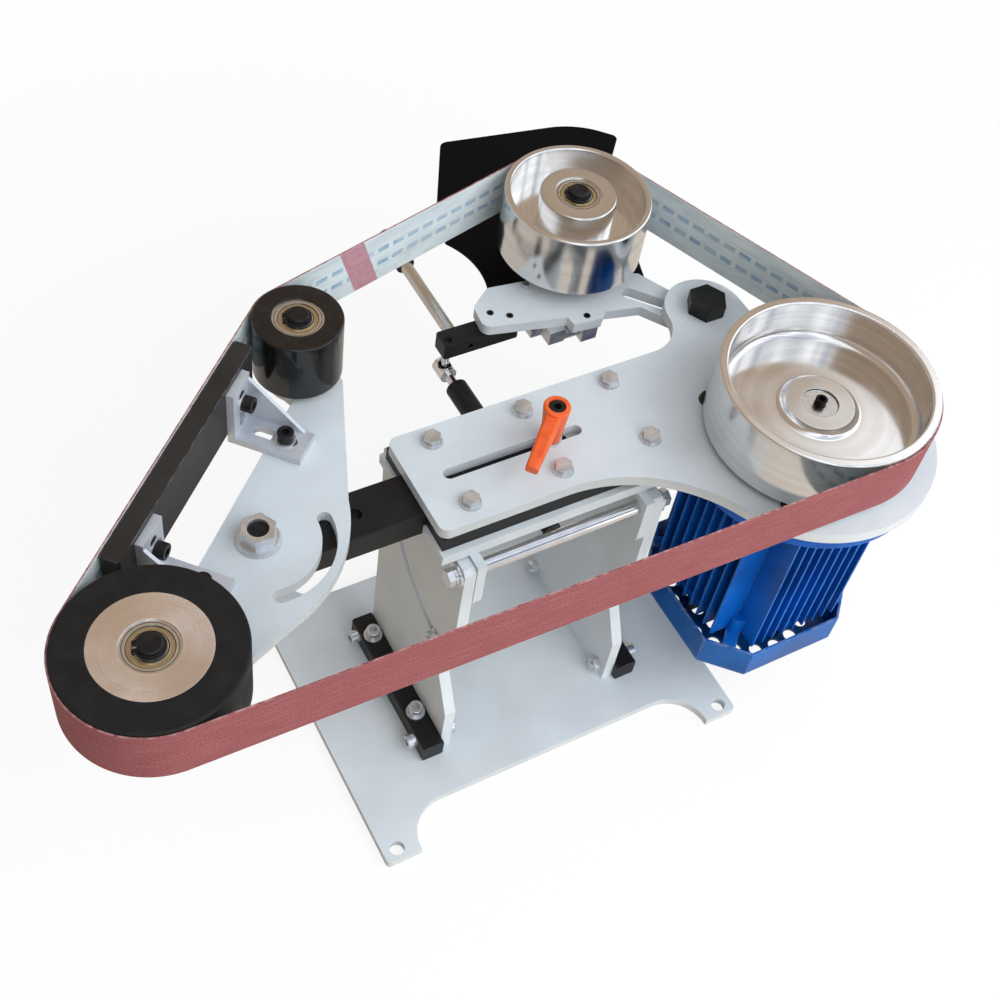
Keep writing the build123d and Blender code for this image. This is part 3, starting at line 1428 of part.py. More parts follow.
# Tracking arm: a flat arm with a slot from its pivot
slot_angle = degrees(atan2(tracking_slot_step[1], tracking_slot_step[0]))
slot_length = hypot(*tracking_slot_step)
slot_middle = (tracking_pivot[0] + tracking_slot_step[0] / 2, tracking_pivot[1] + tracking_slot_step[1] / 2)
prong_x = tracking_lobe_radius * sin(radians(slot_angle))
prong_y = tracking_lobe_radius * cos(radians(slot_angle))
bar_screw_places = [step_from(tracking_pivot, step) for step in bar_screw_steps]
hinge_screw_place = step_from(tracking_pivot, hinge_screw_step)
arm_screw_places = [*bar_screw_places, hinge_screw_place]
with BuildPart() as tracking_arm:
    with BuildSketch(Plane.XY.offset(tracking_arm_bottom_z)) as swing:
        with BuildLine():
            Polyline(
                *[step_from(tracking_pivot, step) for step in tracking_arm_front],
                step_from(tracking_pivot, (-prong_x, prong_y)),
                step_from(tracking_pivot, (prong_x, -prong_y)),
                *[step_from(tracking_pivot, step) for step in tracking_arm_back],
                close=True,
            )
        make_face()
        arm_end_x = tracking_pivot[0] + tracking_arm_back[-1][0] + tracking_arm_end_length
        fillet(swing.vertices().filter_by(lambda v: v.X < arm_end_x), tracking_arm_end_radius)
        with Locations(tracking_pivot):
            Circle(tracking_lobe_radius)
        with Locations(slot_middle):
            SlotCenterToCenter(
                slot_length,
                tracking_bolt_diameter + 2 * running_clearance,
                rotation=slot_angle,
                mode=Mode.SUBTRACT,
            )
        with Locations(adjust_screw_place):
            Circle(adjust_screw_diameter / 2 + running_clearance, mode=Mode.SUBTRACT)
        with Locations(*arm_screw_places):
            Circle(adjust_screw_diameter / 2, mode=Mode.SUBTRACT)
    extrude(amount=tracking_arm_thickness)

with BuildPart() as tracking_arm_screws:
    arm_screw_top_z = tracking_arm_top_z + arm_screw_rise
    with BuildSketch(Plane.XY.offset(tracking_arm_bottom_z - arm_screw_depth + screw_end_gap)):
        with Locations(*arm_screw_places):
            Circle(adjust_screw_diameter / 2 - screw_clearance)
    extrude(amount=tracking_arm_thickness + arm_screw_depth - screw_end_gap + arm_screw_rise)
    with BuildSketch(Plane.XY.offset(arm_screw_top_z)):
        with Locations(*arm_screw_places):
            RegularPolygon(radius=adjust_screw_diameter / 4, side_count=6, major_radius=False)
    extrude(amount=-adjust_socket_depth, mode=Mode.SUBTRACT)

# Hinge blocks and pin under the arm
hinge_block_width = (hinge_length - hinge_knuckle_width) / 2
hinge_block_height = hinge_drop + hinge_pin_diameter
with BuildPart() as carrier_hinge:
    with BuildSketch(Plane.XY.offset(tracking_arm_bottom_z - hinge_block_height)):
        for low_x, front in zip((hinge_left_x, hinge_right_x - hinge_block_width), hinge_block_fronts):
            with Locations((low_x + hinge_block_width / 2, hinge_y + (hinge_block_back - front) / 2)):
                Rectangle(hinge_block_width, hinge_block_back + front)
    extrude(amount=hinge_block_height)
    with BuildSketch(Plane.XY.offset(tracking_arm_bottom_z)):
        with Locations(hinge_screw_place):
            Circle(adjust_screw_diameter / 2)
    extrude(amount=-arm_screw_depth, mode=Mode.SUBTRACT)
    with BuildSketch(Plane.YZ.offset(hinge_left_x)):
        with Locations((hinge_y, hinge_z)):
            Circle(hinge_pin_diameter / 2)
    extrude(amount=hinge_length, mode=Mode.SUBTRACT)
    with BuildSketch(Plane.YZ.offset(hinge_left_x)):
        with Locations((hinge_y, hinge_z)):
            Circle(hinge_pin_diameter / 2 - running_clearance)
    extrude(amount=hinge_length)

# Axle carrier that tilts the tracking wheel
knuckle_radius = hinge_pin_diameter / 2 + hinge_knuckle_wall
carrier_front_y = hinge_y + hinge_block_back + hinge_block_room
with BuildPart() as axle_carrier:
    knuckle_length = hinge_knuckle_width - 2 * slide_clearance
    with BuildSketch(Plane.XY.offset(carrier_bottom_z)):
        with BuildLine():
            Polyline(
                (adjust_screw_place[0] - carrier_screw_margin, carrier_front_y),
                (adjust_screw_place[0] - carrier_screw_margin, adjust_screw_place[1] + carrier_screw_margin),
                step_from(tracking_axis, (-carrier_axle_margin, carrier_axle_margin)),
                step_from(tracking_axis, (carrier_axle_margin, carrier_axle_margin)),
                step_from(tracking_axis, (carrier_axle_margin, -carrier_axle_margin)),
                (hinge_right_x, carrier_front_y),
                close=True,
            )
        make_face()
        with Locations((hinge_middle_x, (hinge_y + carrier_front_y) / 2)):
            Rectangle(knuckle_length, carrier_front_y - hinge_y)
    extrude(amount=carrier_thickness)
    with BuildSketch(Plane.YZ.offset(hinge_middle_x - knuckle_length / 2)):
        with Locations((hinge_y, hinge_z)):
            Circle(knuckle_radius)
    extrude(amount=knuckle_length)
    with BuildSketch(Plane.YZ.offset(hinge_middle_x - knuckle_length / 2)):
        with Locations((hinge_y, hinge_z)):
            Circle(hinge_pin_diameter / 2 + running_clearance)
    extrude(amount=knuckle_length, mode=Mode.SUBTRACT)
    with BuildSketch(Plane.XY.offset(carrier_bottom_z)):
        with Locations(tracking_axis):
            Circle(bearing_bore / 2)
    extrude(amount=carrier_thickness, mode=Mode.SUBTRACT)

# Guard sheet behind the tracking wheel, clamped on the carrier by the axle
with BuildPart() as guard_plate:
    with BuildSketch(Plane.XY.offset(carrier_top_z)) as sheet:
        with BuildLine():
            outline = [step_from(tracking_axis, step) for step in (*guard_front, *guard_back, *guard_side)]
            Polyline(*outline)
            ThreePointArc(outline[-1], step_from(tracking_axis, guard_hollow), outline[0])
        make_face()
        for step, radius in zip(guard_back, guard_back_radii):
            corner = sheet.vertices().sort_by_distance(step_from(tracking_axis, step))[0]
            fillet(corner, radius)
        with Locations(tracking_axis):
            Circle(bearing_bore / 2, mode=Mode.SUBTRACT)
    extrude(amount=guard_thickness)

with BuildPart() as tracking_axle:
    add(wheel_axle(tracking_axis, carrier_bottom_z, carrier_top_z + guard_thickness, rim_wheel_width))

# Tracking screw: its tip bears on the carrier
with BuildPart() as tracking_screw:
    screw_top_z = tracking_arm_top_z + adjust_screw_rise
    with BuildSketch(Plane.XY.offset(carrier_top_z + slide_clearance)):
        with Locations(adjust_screw_place):
            Circle(adjust_screw_diameter / 2)
    extrude(amount=screw_top_z - carrier_top_z - slide_clearance)
    with BuildSketch(Plane.XY.offset(screw_top_z)):
        with Locations(adjust_screw_place):
            RegularPolygon(radius=adjust_screw_diameter / 4, side_count=6, major_radius=False)
    extrude(amount=-adjust_socket_depth, mode=Mode.SUBTRACT)

# Tension bar with the release handle and the ball stud of the gas spring
tension_bar_bottom_z = tracking_arm_bottom_z - tension_bar_height
tension_bar_back_y = tension_bar_middle[1] + tension_bar_width / 2
ball_z = tension_bar_bottom_z - ball_drop
handle_x = tension_bar_middle[0] + handle_step
handle_z = tension_bar_bottom_z + tension_bar_height / 2
with BuildPart() as tension_bar:
    with BuildSketch(Plane.XY.offset(tension_bar_bottom_z)):
        with Locations(tension_bar_middle):
            Rectangle(tension_bar_length, tension_bar_width)
        with Locations(ball_place):
            Circle(ball_stud_diameter / 2, mode=Mode.SUBTRACT)
    extrude(amount=tension_bar_height)
    bar_corners = tension_bar.edges().filter_by(Axis.Z).filter_by(GeomType.LINE)
    chamfer(bar_corners, length=tension_bar_chamfer)
    with BuildSketch(Plane.XY.offset(tracking_arm_bottom_z)):
        with Locations(*bar_screw_places):
            Circle(adjust_screw_diameter / 2)
    extrude(amount=-arm_screw_depth, mode=Mode.SUBTRACT)
    with BuildSketch(Plane.XZ.offset(tension_bar_width / 2 - tension_bar_middle[1])):
        with Locations((tension_bar_middle[0] + bar_hole_step, handle_z)):
            Circle(bar_hole_diameter / 2)
    extrude(amount=-bar_hole_depth, mode=Mode.SUBTRACT)
    with BuildSketch(Plane.XZ.offset(-tension_bar_back_y)):
        with Locations((handle_x, handle_z)):
            Circle(handle_diameter / 2)
    extrude(amount=handle_thread, mode=Mode.SUBTRACT)

with BuildPart() as release_handle:
    handle_inside = handle_thread - screw_end_gap
    with BuildSketch(Plane.XZ.offset(handle_inside - tension_bar_back_y)):
        with Locations((handle_x, handle_z)):
            Circle(handle_diameter / 2 - running_clearance)
    extrude(amount=-handle_length - handle_inside)
    with BuildSketch(Plane.XZ.offset(-tension_bar_back_y - handle_length - seat_gap)):
        with Locations((handle_x, handle_z)):
            Circle(handle_grip_diameter / 2)
    extrude(amount=-handle_grip_length)
    fillet(release_handle.edges().group_by(Axis.Y)[-1], handle_grip_radius)


def ball_stud(place, top_z):
    with BuildPart() as stud:
        with Locations((*place, ball_z)):
            Sphere(ball_diameter / 2)
        with BuildSketch(Plane.XY.offset(ball_z)):
            with Locations(place):
                Circle(ball_stud_diameter / 2 - screw_clearance)
        extrude(amount=top_z - ball_z)
    return stud


upper_ball_stud = ball_stud(ball_place, tracking_arm_bottom_z - ball_stud_sink)
spring_anchor_stud = ball_stud(spring_anchor, tilt_plate_top_z - screw_end_gap)

# Gas spring between the two ball studs
spring_span = hypot(ball_place[0] - spring_anchor[0], ball_place[1] - spring_anchor[1])
spring_axis = (
    (ball_place[0] - spring_anchor[0]) / spring_span,
    (ball_place[1] - spring_anchor[1]) / spring_span,
    0,
)
spring_frame = Plane(origin=(*spring_anchor, ball_z), x_dir=(0, 0, 1), z_dir=spring_axis)


def ball_socket(place, clearance):
    with Locations((*place, ball_z)):
        Sphere(ball_diameter / 2 + clearance, mode=Mode.SUBTRACT)
        Cylinder(
            ball_diameter / 2 + clearance,
            spring_socket_diameter,
            align=(Align.CENTER, Align.CENTER, Align.MIN),
            mode=Mode.SUBTRACT,
        )


with BuildPart() as gas_spring_cylinder:
    with BuildSketch(spring_frame.offset(-spring_socket_half)):
        Circle(spring_socket_diameter / 2)
    extrude(amount=spring_socket_half + spring_socket_neck)
    with BuildSketch(spring_frame.offset(spring_socket_neck)):
        Circle(spring_cylinder_diameter / 2)
    extrude(amount=spring_span - spring_cylinder_end - spring_socket_neck)
    fillet(gas_spring_cylinder.edges().group_by(Axis.Y)[-1], spring_edge_radius)
    with BuildSketch(spring_frame.offset(spring_bore_start)):
        Circle(spring_rod_diameter / 2 + running_clearance)
    extrude(amount=spring_span, mode=Mode.SUBTRACT)
    ball_socket(spring_anchor, running_clearance)

with BuildPart() as gas_spring_rod:
    with BuildSketch(spring_frame.offset(spring_rod_start)):
        Circle(spring_rod_diameter / 2)
    extrude(amount=spring_span - spring_rod_start)
    with BuildSketch(spring_frame.offset(spring_span - spring_socket_half)):
        Circle(spring_socket_diameter / 2)
    extrude(amount=2 * spring_socket_half)
    ball_socket(ball_place, ball_clearance)

# One file for each sub-part
os.makedirs("parts", exist_ok=True)
pieces = {
    "base_plate": base_plate,
    "uprights": uprights,
    "foot_bars": foot_bars,
    "foot_screws": foot_screws,
    "stand_washers": stand_washers,
    "pivot_bolts": pivot_bolts,
    "pivot_rod": pivot_rod,
    "tilt_plate": tilt_plate,
    "tilt_brackets": tilt_brackets,
    "tilt_lock_bolt": tilt_lock_bolt,
    "channel_bars": channel_bars,
    "main_plate": main_plate,
    "frame_bolts": frame_bolts,
    "motor_flange": motor_flange,
    "motor_housing": motor_housing,
    "motor_cowl": motor_cowl,
    "motor_stator": motor_stator,
    "motor_bearings": motor_bearings,
    "motor_bolts": motor_bolts,
    "motor_shaft": motor_shaft,
    "motor_rotor": motor_rotor,
    "motor_fan": motor_fan,
    "terminal_box": terminal_box,
    "cable_gland": cable_gland,
    "drive_wheel": drive_wheel,
    "drive_wheel_screw": drive_wheel_screw,
    "contact_wheel_tyre": contact_wheel_tyre,
    "contact_wheel_hub": contact_wheel_hub,
    "contact_bearings": contact_bearings,
    "idler_wheel": idler_wheel,
    "idler_bearings": idler_bearings,
    "tracking_wheel": tracking_wheel,
    "tracking_bearings": tracking_bearings,
    "sanding_belt": sanding_belt,
    "tool_arm": tool_arm,
    "lever_stud": lever_stud,
    "lever_handle": lever_handle,
    "lever_screw": lever_screw,
    "arm_pivot_stud": arm_pivot_stud,
    "arm_flange_nut": arm_flange_nut,
    "arm_plate": arm_plate,
    "platen_bar": platen_bar,
    "platen_brackets": platen_brackets,
    "bracket_screws": bracket_screws,
    "bracket_washers": bracket_washers,
    "arm_axles": arm_axles,
    "tracking_pivot_bolt": tracking_pivot_bolt,
    "tracking_arm": tracking_arm,
    "tracking_arm_screws": tracking_arm_screws,
    "carrier_hinge": carrier_hinge,
    "axle_carrier": axle_carrier,
    "guard_plate": guard_plate,
    "tracking_axle": tracking_axle,
    "tracking_screw": tracking_screw,
    "tension_bar": tension_bar,
    "release_handle": release_handle,
    "upper_ball_stud": upper_ball_stud,
    "spring_anchor_stud": spring_anchor_stud,
    "gas_spring_cylinder": gas_spring_cylinder,
    "gas_spring_rod": gas_spring_rod,
}
for name, piece in pieces.items():
    piece.part.label = name
    export_step(piece.part, f"parts/{name}.step")
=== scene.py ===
import json
from math import atan2, cos, pi, radians, sin

import bmesh
import bpy
from mathutils import Matrix, Vector


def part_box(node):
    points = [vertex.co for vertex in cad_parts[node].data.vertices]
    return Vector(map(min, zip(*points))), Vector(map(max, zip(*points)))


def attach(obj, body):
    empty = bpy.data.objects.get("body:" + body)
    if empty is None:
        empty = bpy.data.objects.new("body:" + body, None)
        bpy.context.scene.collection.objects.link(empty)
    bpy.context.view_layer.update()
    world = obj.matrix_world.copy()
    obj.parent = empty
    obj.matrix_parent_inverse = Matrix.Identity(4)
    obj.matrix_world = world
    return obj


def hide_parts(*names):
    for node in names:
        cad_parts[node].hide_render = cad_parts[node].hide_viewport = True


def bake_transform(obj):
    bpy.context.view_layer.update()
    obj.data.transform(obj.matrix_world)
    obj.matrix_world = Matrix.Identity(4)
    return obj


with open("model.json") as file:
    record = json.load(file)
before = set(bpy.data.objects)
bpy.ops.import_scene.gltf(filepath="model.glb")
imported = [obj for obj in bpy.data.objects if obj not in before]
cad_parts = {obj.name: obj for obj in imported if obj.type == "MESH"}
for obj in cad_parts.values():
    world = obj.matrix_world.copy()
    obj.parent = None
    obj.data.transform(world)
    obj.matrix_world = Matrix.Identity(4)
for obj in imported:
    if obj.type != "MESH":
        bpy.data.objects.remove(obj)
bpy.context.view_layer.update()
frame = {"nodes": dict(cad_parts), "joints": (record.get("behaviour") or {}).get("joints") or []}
nodes = frame["nodes"]
joints = {joint["name"]: joint for joint in frame["joints"]}
scene = bpy.context.scene
scene.view_settings.view_transform = "Standard"
mm = 0.001

# Range over which a noise changes a finish, and the rays of a rounded edge
noise_range = (0.3, 0.7)
bevel_samples = 4


# Places and sizes that the finishes and the belt share, read from the frame
def axis_of(joint):
    return Vector(joints[joint]["pos_m"])


def radius_of(node):
    low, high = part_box(node)
    return (high.x - low.x) / 2


contact_axis = axis_of("contact_spin")
idler_axis = axis_of("idler_spin")
tracking_axis = axis_of("tracking_spin")
drive_axis = axis_of("drive_spin")


# Node helpers
class Nodes:
    """A node tree under construction: adds nodes, links sockets and sets constants."""

    def __init__(self, tree):
        self.tree = tree

    def feed(self, socket, value):
        if isinstance(value, bpy.types.NodeSocket):
            self.tree.links.new(value, socket)
        elif socket.type == "RGBA":
            socket.default_value = (*value, 1)
        else:
            socket.default_value = value

    def add(self, kind, values=None, **settings):
        node = self.tree.nodes.new("ShaderNode" + kind)
        for name, setting in settings.items():
            setattr(node, name, setting)
        for key, value in (values or {}).items():
            self.feed(node.inputs[key], value)
        return node

    def math(self, operation, first, second=0.0):
        return self.add("Math", {0: first, 1: second}, operation=operation).outputs[0]

    def average(self, first, second):
        return self.math("ADD", self.math("MULTIPLY", first, 0.5), self.math("MULTIPLY", second, 0.5))

    def vector(self, operation, first, second=(0, 0, 0)):
        return self.add("VectorMath", {0: first, 1: second}, operation=operation).outputs[0]

    def spread(self, value, low, high, out_low=0.0, out_high=1.0):
        """Maps low..high to out_low..out_high, and stops at both ends."""
        ends = {"From Min": low, "From Max": high, "To Min": out_low, "To Max": out_high}
        return self.add("MapRange", {"Value": value, **ends}).outputs["Result"]

    def mix(self, share, first, second):
        """The first colour where share is 0, the second where it is 1."""
        return self.add("Mix", {0: share, 6: first, 7: second}, data_type="RGBA").outputs[2]

    def noise(self, place, size, detail=2.0, stretch=(1, 1, 1)):
        """Noise from 0 to 1, in patches of about that size in metres, longer where stretch is larger."""
        scaled = self.vector("MULTIPLY", place, [1 / (size * part) for part in stretch])
        return self.add("TexNoise", {"Vector": scaled, "Scale": 1.0, "Detail": detail}).outputs[0]

    def band(self, value, middle, half_width, blur):
        """1 within half_width of the middle, 0 outside, with a soft change of width blur."""
        away = self.math("ABSOLUTE", self.math("SUBTRACT", value, middle))
        return self.spread(away, half_width + blur, half_width)


class Finish(Nodes):
    """A procedural material: a Principled shader with constants, and the nodes that vary it."""

    def __init__(self, name, **constants):
        self.material = bpy.data.materials.new(name)
        self.material.use_nodes = True
        super().__init__(self.material.node_tree)
        self.shader = self.tree.nodes["Principled BSDF"]
        self.normal = None
        self.place = self.add("TexCoord").outputs["Object"]
        for key, value in constants.items():
            self.set(key, value)

    def set(self, key, value):
        """Feeds the shader's input of that name, written in small letters with underscores."""
        socket = key.replace("_", " ").title().replace("Ior", "IOR")
        self.feed(self.shader.inputs[socket], value)

    def speckle(self, size, detail=2.0, stretch=(1, 1, 1)):
        return self.noise(self.place, size, detail, stretch)

    def radius(self, axis):
        """Distance from an upright axis."""
        away = self.vector("MULTIPLY", self.vector("SUBTRACT", self.place, axis), (1, 1, 0))
        return self.add("VectorMath", {0: away}, operation="LENGTH").outputs["Value"]

    def height(self):
        return self.add("SeparateXYZ", {0: self.place}).outputs["Z"]

    def edges(self, reach):
        """1 on the edges of the solid, fading to 0 on its faces within reach."""
        rounded = self.add("Bevel", {"Radius": reach}, samples=bevel_samples).outputs[0]
        plain = self.add("NewGeometry").outputs["Normal"]
        along = self.add("VectorMath", {0: rounded, 1: plain}, operation="DOT_PRODUCT").outputs["Value"]
        on_face, on_edge = 0.97, 0.75
        return self.spread(along, on_face, on_edge)

    def round_edges(self, radius):
        self.normal = self.add("Bevel", {"Radius": radius}, samples=bevel_samples).outputs[0]
        self.set("normal", self.normal)

    def bump(self, height, depth):
        """Relief of that depth in metres, on top of the relief already there."""
        values = {"Height": height, "Distance": depth, "Strength": 1.0}
        if self.normal is not None:
            values["Normal"] = self.normal
        self.normal = self.add("Bump", values).outputs[0]
        self.set("normal", self.normal)


# Finishes of the painted pieces
def painted(name, dark, light, edge_tone, roughness, specular=0.5, peel=0.012 * mm, edge_amount=0.5, reach=1.1 * mm):
    """Powder coat: slow clouds of tone, orange peel, and lighter edges within that reach, from wear, and on
    the blue paint partly a painted highlight.
    """
    finish = Finish(name, specular_ior_level=specular)
    clouds = finish.speckle(55 * mm, 3)
    grains = finish.speckle(0.7 * mm, 2)
    tone = finish.mix(finish.spread(clouds, 0.32, 0.68), dark, light)
    tone = finish.mix(finish.spread(grains, 0.62, 0.8, 0, 0.25), tone, dark)
    edge_patches = finish.spread(finish.speckle(9 * mm, 5), 0.42, 0.62)
    edge = finish.math("MULTIPLY", finish.edges(reach), edge_patches)
    finish.set("base_color", finish.mix(finish.math("MULTIPLY", edge, edge_amount), tone, edge_tone))
    finish.set("roughness", finish.spread(clouds, *noise_range, roughness - 0.06, roughness + 0.08))
    finish.round_edges(0.5 * mm)
    finish.bump(finish.speckle(1.6 * mm, 2), peel)
    return finish.material


def grey_paint():
    dark, light, edge_tone = (0.605, 0.66, 0.70), (0.675, 0.735, 0.78), (0.83, 0.86, 0.88)
    return painted("grey_paint", dark, light, edge_tone, roughness=0.42)


def black_paint():
    dark, light, edge_tone = (0.0045, 0.0048, 0.0055), (0.010, 0.0102, 0.0112), (0.07, 0.07, 0.075)
    return painted("black_paint", dark, light, edge_tone, roughness=0.42, specular=0.3)


def guard_paint():
    """A deep matt black."""
    dark, light, edge_tone = (0.0015, 0.0017, 0.0022), (0.003, 0.0032, 0.004), (0.03, 0.03, 0.032)
    return painted("guard_paint", dark, light, edge_tone, roughness=0.55, specular=0.06)


def platen_paint():
    """A thin black that is rubbed bright along the edges."""
    dark, light, edge_tone = (0.018, 0.0165, 0.016), (0.03, 0.028, 0.027), (0.32, 0.31, 0.30)
    return painted("platen_paint", dark, light, edge_tone, roughness=0.45, specular=0.3, edge_amount=0.8)


blue_peel = 0.03 * mm


def blue_paint():
    # The lighter blue along the edges is partly wear and partly a painted highlight on the fin edges
    dark, light, edge_tone = (0.001, 0.075, 0.36), (0.0015, 0.13, 0.58), (0.10, 0.38, 0.78)
    return painted("blue_paint", dark, light, edge_tone, roughness=0.34, specular=0.22, peel=blue_peel, edge_amount=0.8)


def worn_blue_paint():
    """The same blue, rubbed down to grey metal along the edges."""
    dark, light, bare = (0.003, 0.085, 0.33), (0.006, 0.14, 0.52), (0.36, 0.37, 0.38)
    rubbed = {"edge_amount": 1.0, "reach": 2.5 * mm}
    return painted("worn_blue_paint", dark, light, bare, 0.34, specular=0.3, peel=blue_peel, **rubbed)


# Finishes of the bare metals
def plain_metal(
    name, dark, light, roughness, grain=0.6 * mm, depth=0.004 * mm, stretch=(1, 1, 1), metallic=1.0
):
    """Metal with stains, a fine grain and roughness that varies with both."""
    finish = Finish(name, metallic=metallic)
    stains = finish.speckle(12 * mm, 4)
    lines = finish.speckle(grain, 3, stretch)
    finish.set("base_color", finish.mix(finish.spread(stains, *noise_range), dark, light))
    uneven = finish.average(stains, lines)
    finish.set("roughness", finish.spread(uneven, 0.35, 0.65, roughness * 0.75, roughness * 1.3))
    finish.round_edges(0.35 * mm)
    finish.bump(lines, depth)
    return finish.material


def turned_metal(name, axis, dark, light, roughness, anisotropy, ring=0.5 * mm, depth=0.003 * mm):
    """Metal with the rings of the lathe around an upright axis."""
    finish = Finish(name, metallic=1.0, anisotropic=anisotropy)
    radius = finish.radius(axis)
    along = finish.add("CombineXYZ", {0: radius, 2: finish.height()}).outputs[0]
    rings = finish.noise(along, ring, 3)
    broad = finish.noise(along, 9 * mm, 2)
    stains = finish.speckle(25 * mm, 4)
    tone = finish.mix(finish.spread(broad, *noise_range), dark, light)
    finish.set("base_color", finish.mix(finish.spread(stains, 0.55, 0.8, 0, 0.35), tone, dark))
    uneven = finish.average(stains, rings)
    finish.set("roughness", finish.spread(uneven, 0.35, 0.65, roughness * 0.7, roughness * 1.4))
    finish.set("tangent", finish.add("Tangent", direction_type="RADIAL", axis="Z").outputs[0])
    finish.round_edges(0.4 * mm)
    finish.bump(rings, depth)
    return finish.material


def zinc_steel():
    dark, light = (0.56, 0.58, 0.61), (0.76, 0.79, 0.83)
    return plain_metal("zinc_steel", dark, light, roughness=0.24, metallic=0.8)


def chrome_steel():
    dark, light = (0.70, 0.70, 0.71), (0.82, 0.82, 0.83)
    return plain_metal("chrome_steel", dark, light, roughness=0.08, depth=0.001 * mm)


def stainless_steel():
    dark, light = (0.55, 0.54, 0.52), (0.72, 0.71, 0.69)
    return plain_metal("stainless_steel", dark, light, roughness=0.24, stretch=(6, 6, 1))


def handle_steel(grip_start):
    """A smooth drawn rod with a black grip beyond grip_start along Y."""
    finish = Finish("handle_steel")
    parts = finish.add("SeparateXYZ", {0: finish.place})
    grip = finish.spread(parts.outputs["Y"], grip_start - 0.3 * mm, grip_start)
    stains = finish.speckle(30 * mm, 3)
    lines = finish.speckle(0.5 * mm, 3, (1, 30, 1))
    steel = finish.mix(finish.spread(stains, *noise_range), (0.58, 0.56, 0.53), (0.68, 0.66, 0.63))
    finish.set("base_color", finish.mix(grip, steel, (0.010, 0.010, 0.011)))
    finish.set("metallic", finish.math("SUBTRACT", 1.0, grip))
    finish.set("roughness", finish.spread(lines, *noise_range, 0.2, 0.32))
    finish.round_edges(0.4 * mm)
    finish.bump(lines, 0.002 * mm)
    return finish.material


def machine_steel():
    dark, light = (0.36, 0.36, 0.37), (0.50, 0.50, 0.51)
    return plain_metal("machine_steel", dark, light, roughness=0.36)


def black_oxide_steel():
    finish = Finish("black_oxide_steel", metallic=0.2, specular_ior_level=0.3)
    stains = finish.speckle(6 * mm, 4)
    tone = finish.mix(finish.spread(stains, *noise_range), (0.006, 0.006, 0.0065), (0.016, 0.016, 0.0165))
    rubbed = finish.math("MULTIPLY", finish.edges(0.7 * mm), 0.5)
    finish.set("base_color", finish.mix(rubbed, tone, (0.12, 0.12, 0.12)))
    finish.set("roughness", finish.spread(stains, *noise_range, 0.28, 0.45))
    finish.round_edges(0.4 * mm)
    finish.bump(finish.speckle(0.5 * mm), 0.006 * mm)
    return finish.material


def satin_aluminium():
    dark, light = (0.56, 0.56, 0.57), (0.72, 0.72, 0.73)
    brushed = {"grain": 0.35 * mm, "depth": 0.006 * mm, "stretch": (14, 14, 1)}
    return plain_metal("satin_aluminium", dark, light, roughness=0.38, **brushed)


def cast_brackets():
    """Bead-blasted aluminium, duller than the turned pieces."""
    dark, light = (0.58, 0.62, 0.68), (0.66, 0.70, 0.76)
    blasted = {"grain": 0.5 * mm, "depth": 0.012 * mm}
    return plain_metal("cast_brackets", dark, light, roughness=0.5, metallic=0.6, **blasted)


def drive_screw_steel(axis, head_radius):
    """A black screw head on a bright washer."""
    finish = Finish("drive_screw_steel", metallic=1.0)
    stains = finish.speckle(5 * mm, 4)
    head = finish.spread(finish.radius(axis), head_radius + 0.2 * mm, head_radius)
    zinc = finish.mix(stains, (0.50, 0.50, 0.50), (0.74, 0.74, 0.73))
    finish.set("base_color", finish.mix(head, zinc, (0.018, 0.018, 0.019)))
    finish.set("roughness", finish.spread(stains, *noise_range, 0.2, 0.36))
    finish.round_edges(0.3 * mm)
    finish.bump(finish.speckle(0.5 * mm), 0.004 * mm)
    return finish.material


def bearing_steel(axis, shield_inside, shield_outside, rim):
    """A bright inner ring, a tan shield with dark gaps beside it, and an outer ring with a rim."""
    finish = Finish("bearing_steel", metallic=1.0)
    radius = finish.radius(axis)
    middle = (shield_inside + shield_outside) / 2
    shield = finish.band(radius, middle, (shield_outside - shield_inside) / 2, 0.05 * mm)
    gap_in = finish.band(radius, shield_inside, 0.25 * mm, 0.15 * mm)
    gap_out = finish.band(radius, shield_outside, 0.18 * mm, 0.15 * mm)
    groove = finish.band(radius, rim, 0.15 * mm, 0.15 * mm)
    gaps = finish.math("MAXIMUM", finish.math("MAXIMUM", gap_in, gap_out), groove)
    stains = finish.speckle(5 * mm, 4)
    steel = finish.mix(stains, (0.60, 0.60, 0.60), (0.78, 0.78, 0.77))
    shield_steel = finish.mix(stains, (0.46, 0.40, 0.27), (0.62, 0.55, 0.38))
    tone = finish.mix(shield, steel, shield_steel)
    tone = finish.mix(gaps, tone, (0.015, 0.013, 0.01))
    finish.set("base_color", tone)
    finish.set("roughness", finish.spread(stains, *noise_range, 0.16, 0.30))
    finish.round_edges(0.3 * mm)
    finish.bump(finish.speckle(0.4 * mm), 0.003 * mm)
    return finish.material


# Finishes of rubber, plastic and cloth
def black_rubber():
    finish = Finish("black_rubber", specular_ior_level=0.25)
    dust = finish.speckle(14 * mm, 5)
    pores = finish.speckle(0.8 * mm, 3)
    tone = finish.mix(finish.spread(dust, 0.45, 0.75), (0.008, 0.008, 0.0085), (0.014, 0.0138, 0.0138))
    # Lighter colour along the rounded edges is a painted highlight, standing in for the rubber's sheen
    # there
    painted_edge_highlight = finish.math("MULTIPLY", finish.edges(1.2 * mm), 0.35)
    finish.set("base_color", finish.mix(painted_edge_highlight, tone, (0.09, 0.09, 0.09)))
    finish.set("roughness", finish.spread(dust, *noise_range, 0.42, 0.62))
    finish.round_edges(0.8 * mm)
    finish.bump(pores, 0.02 * mm)
    return finish.material


def gloss_black():
    finish = Finish("gloss_black", specular_ior_level=0.3, coat_weight=0.4, coat_roughness=0.08)
    dust = finish.speckle(8 * mm, 5)
    tone = finish.mix(finish.spread(dust, 0.5, 0.8), (0.005, 0.005, 0.0055), (0.018, 0.017, 0.016))
    finish.set("base_color", tone)
    finish.set("roughness", finish.spread(dust, *noise_range, 0.13, 0.26))
    finish.round_edges(1.2 * mm)
    finish.bump(finish.speckle(1.1 * mm), 0.003 * mm)
    return finish.material


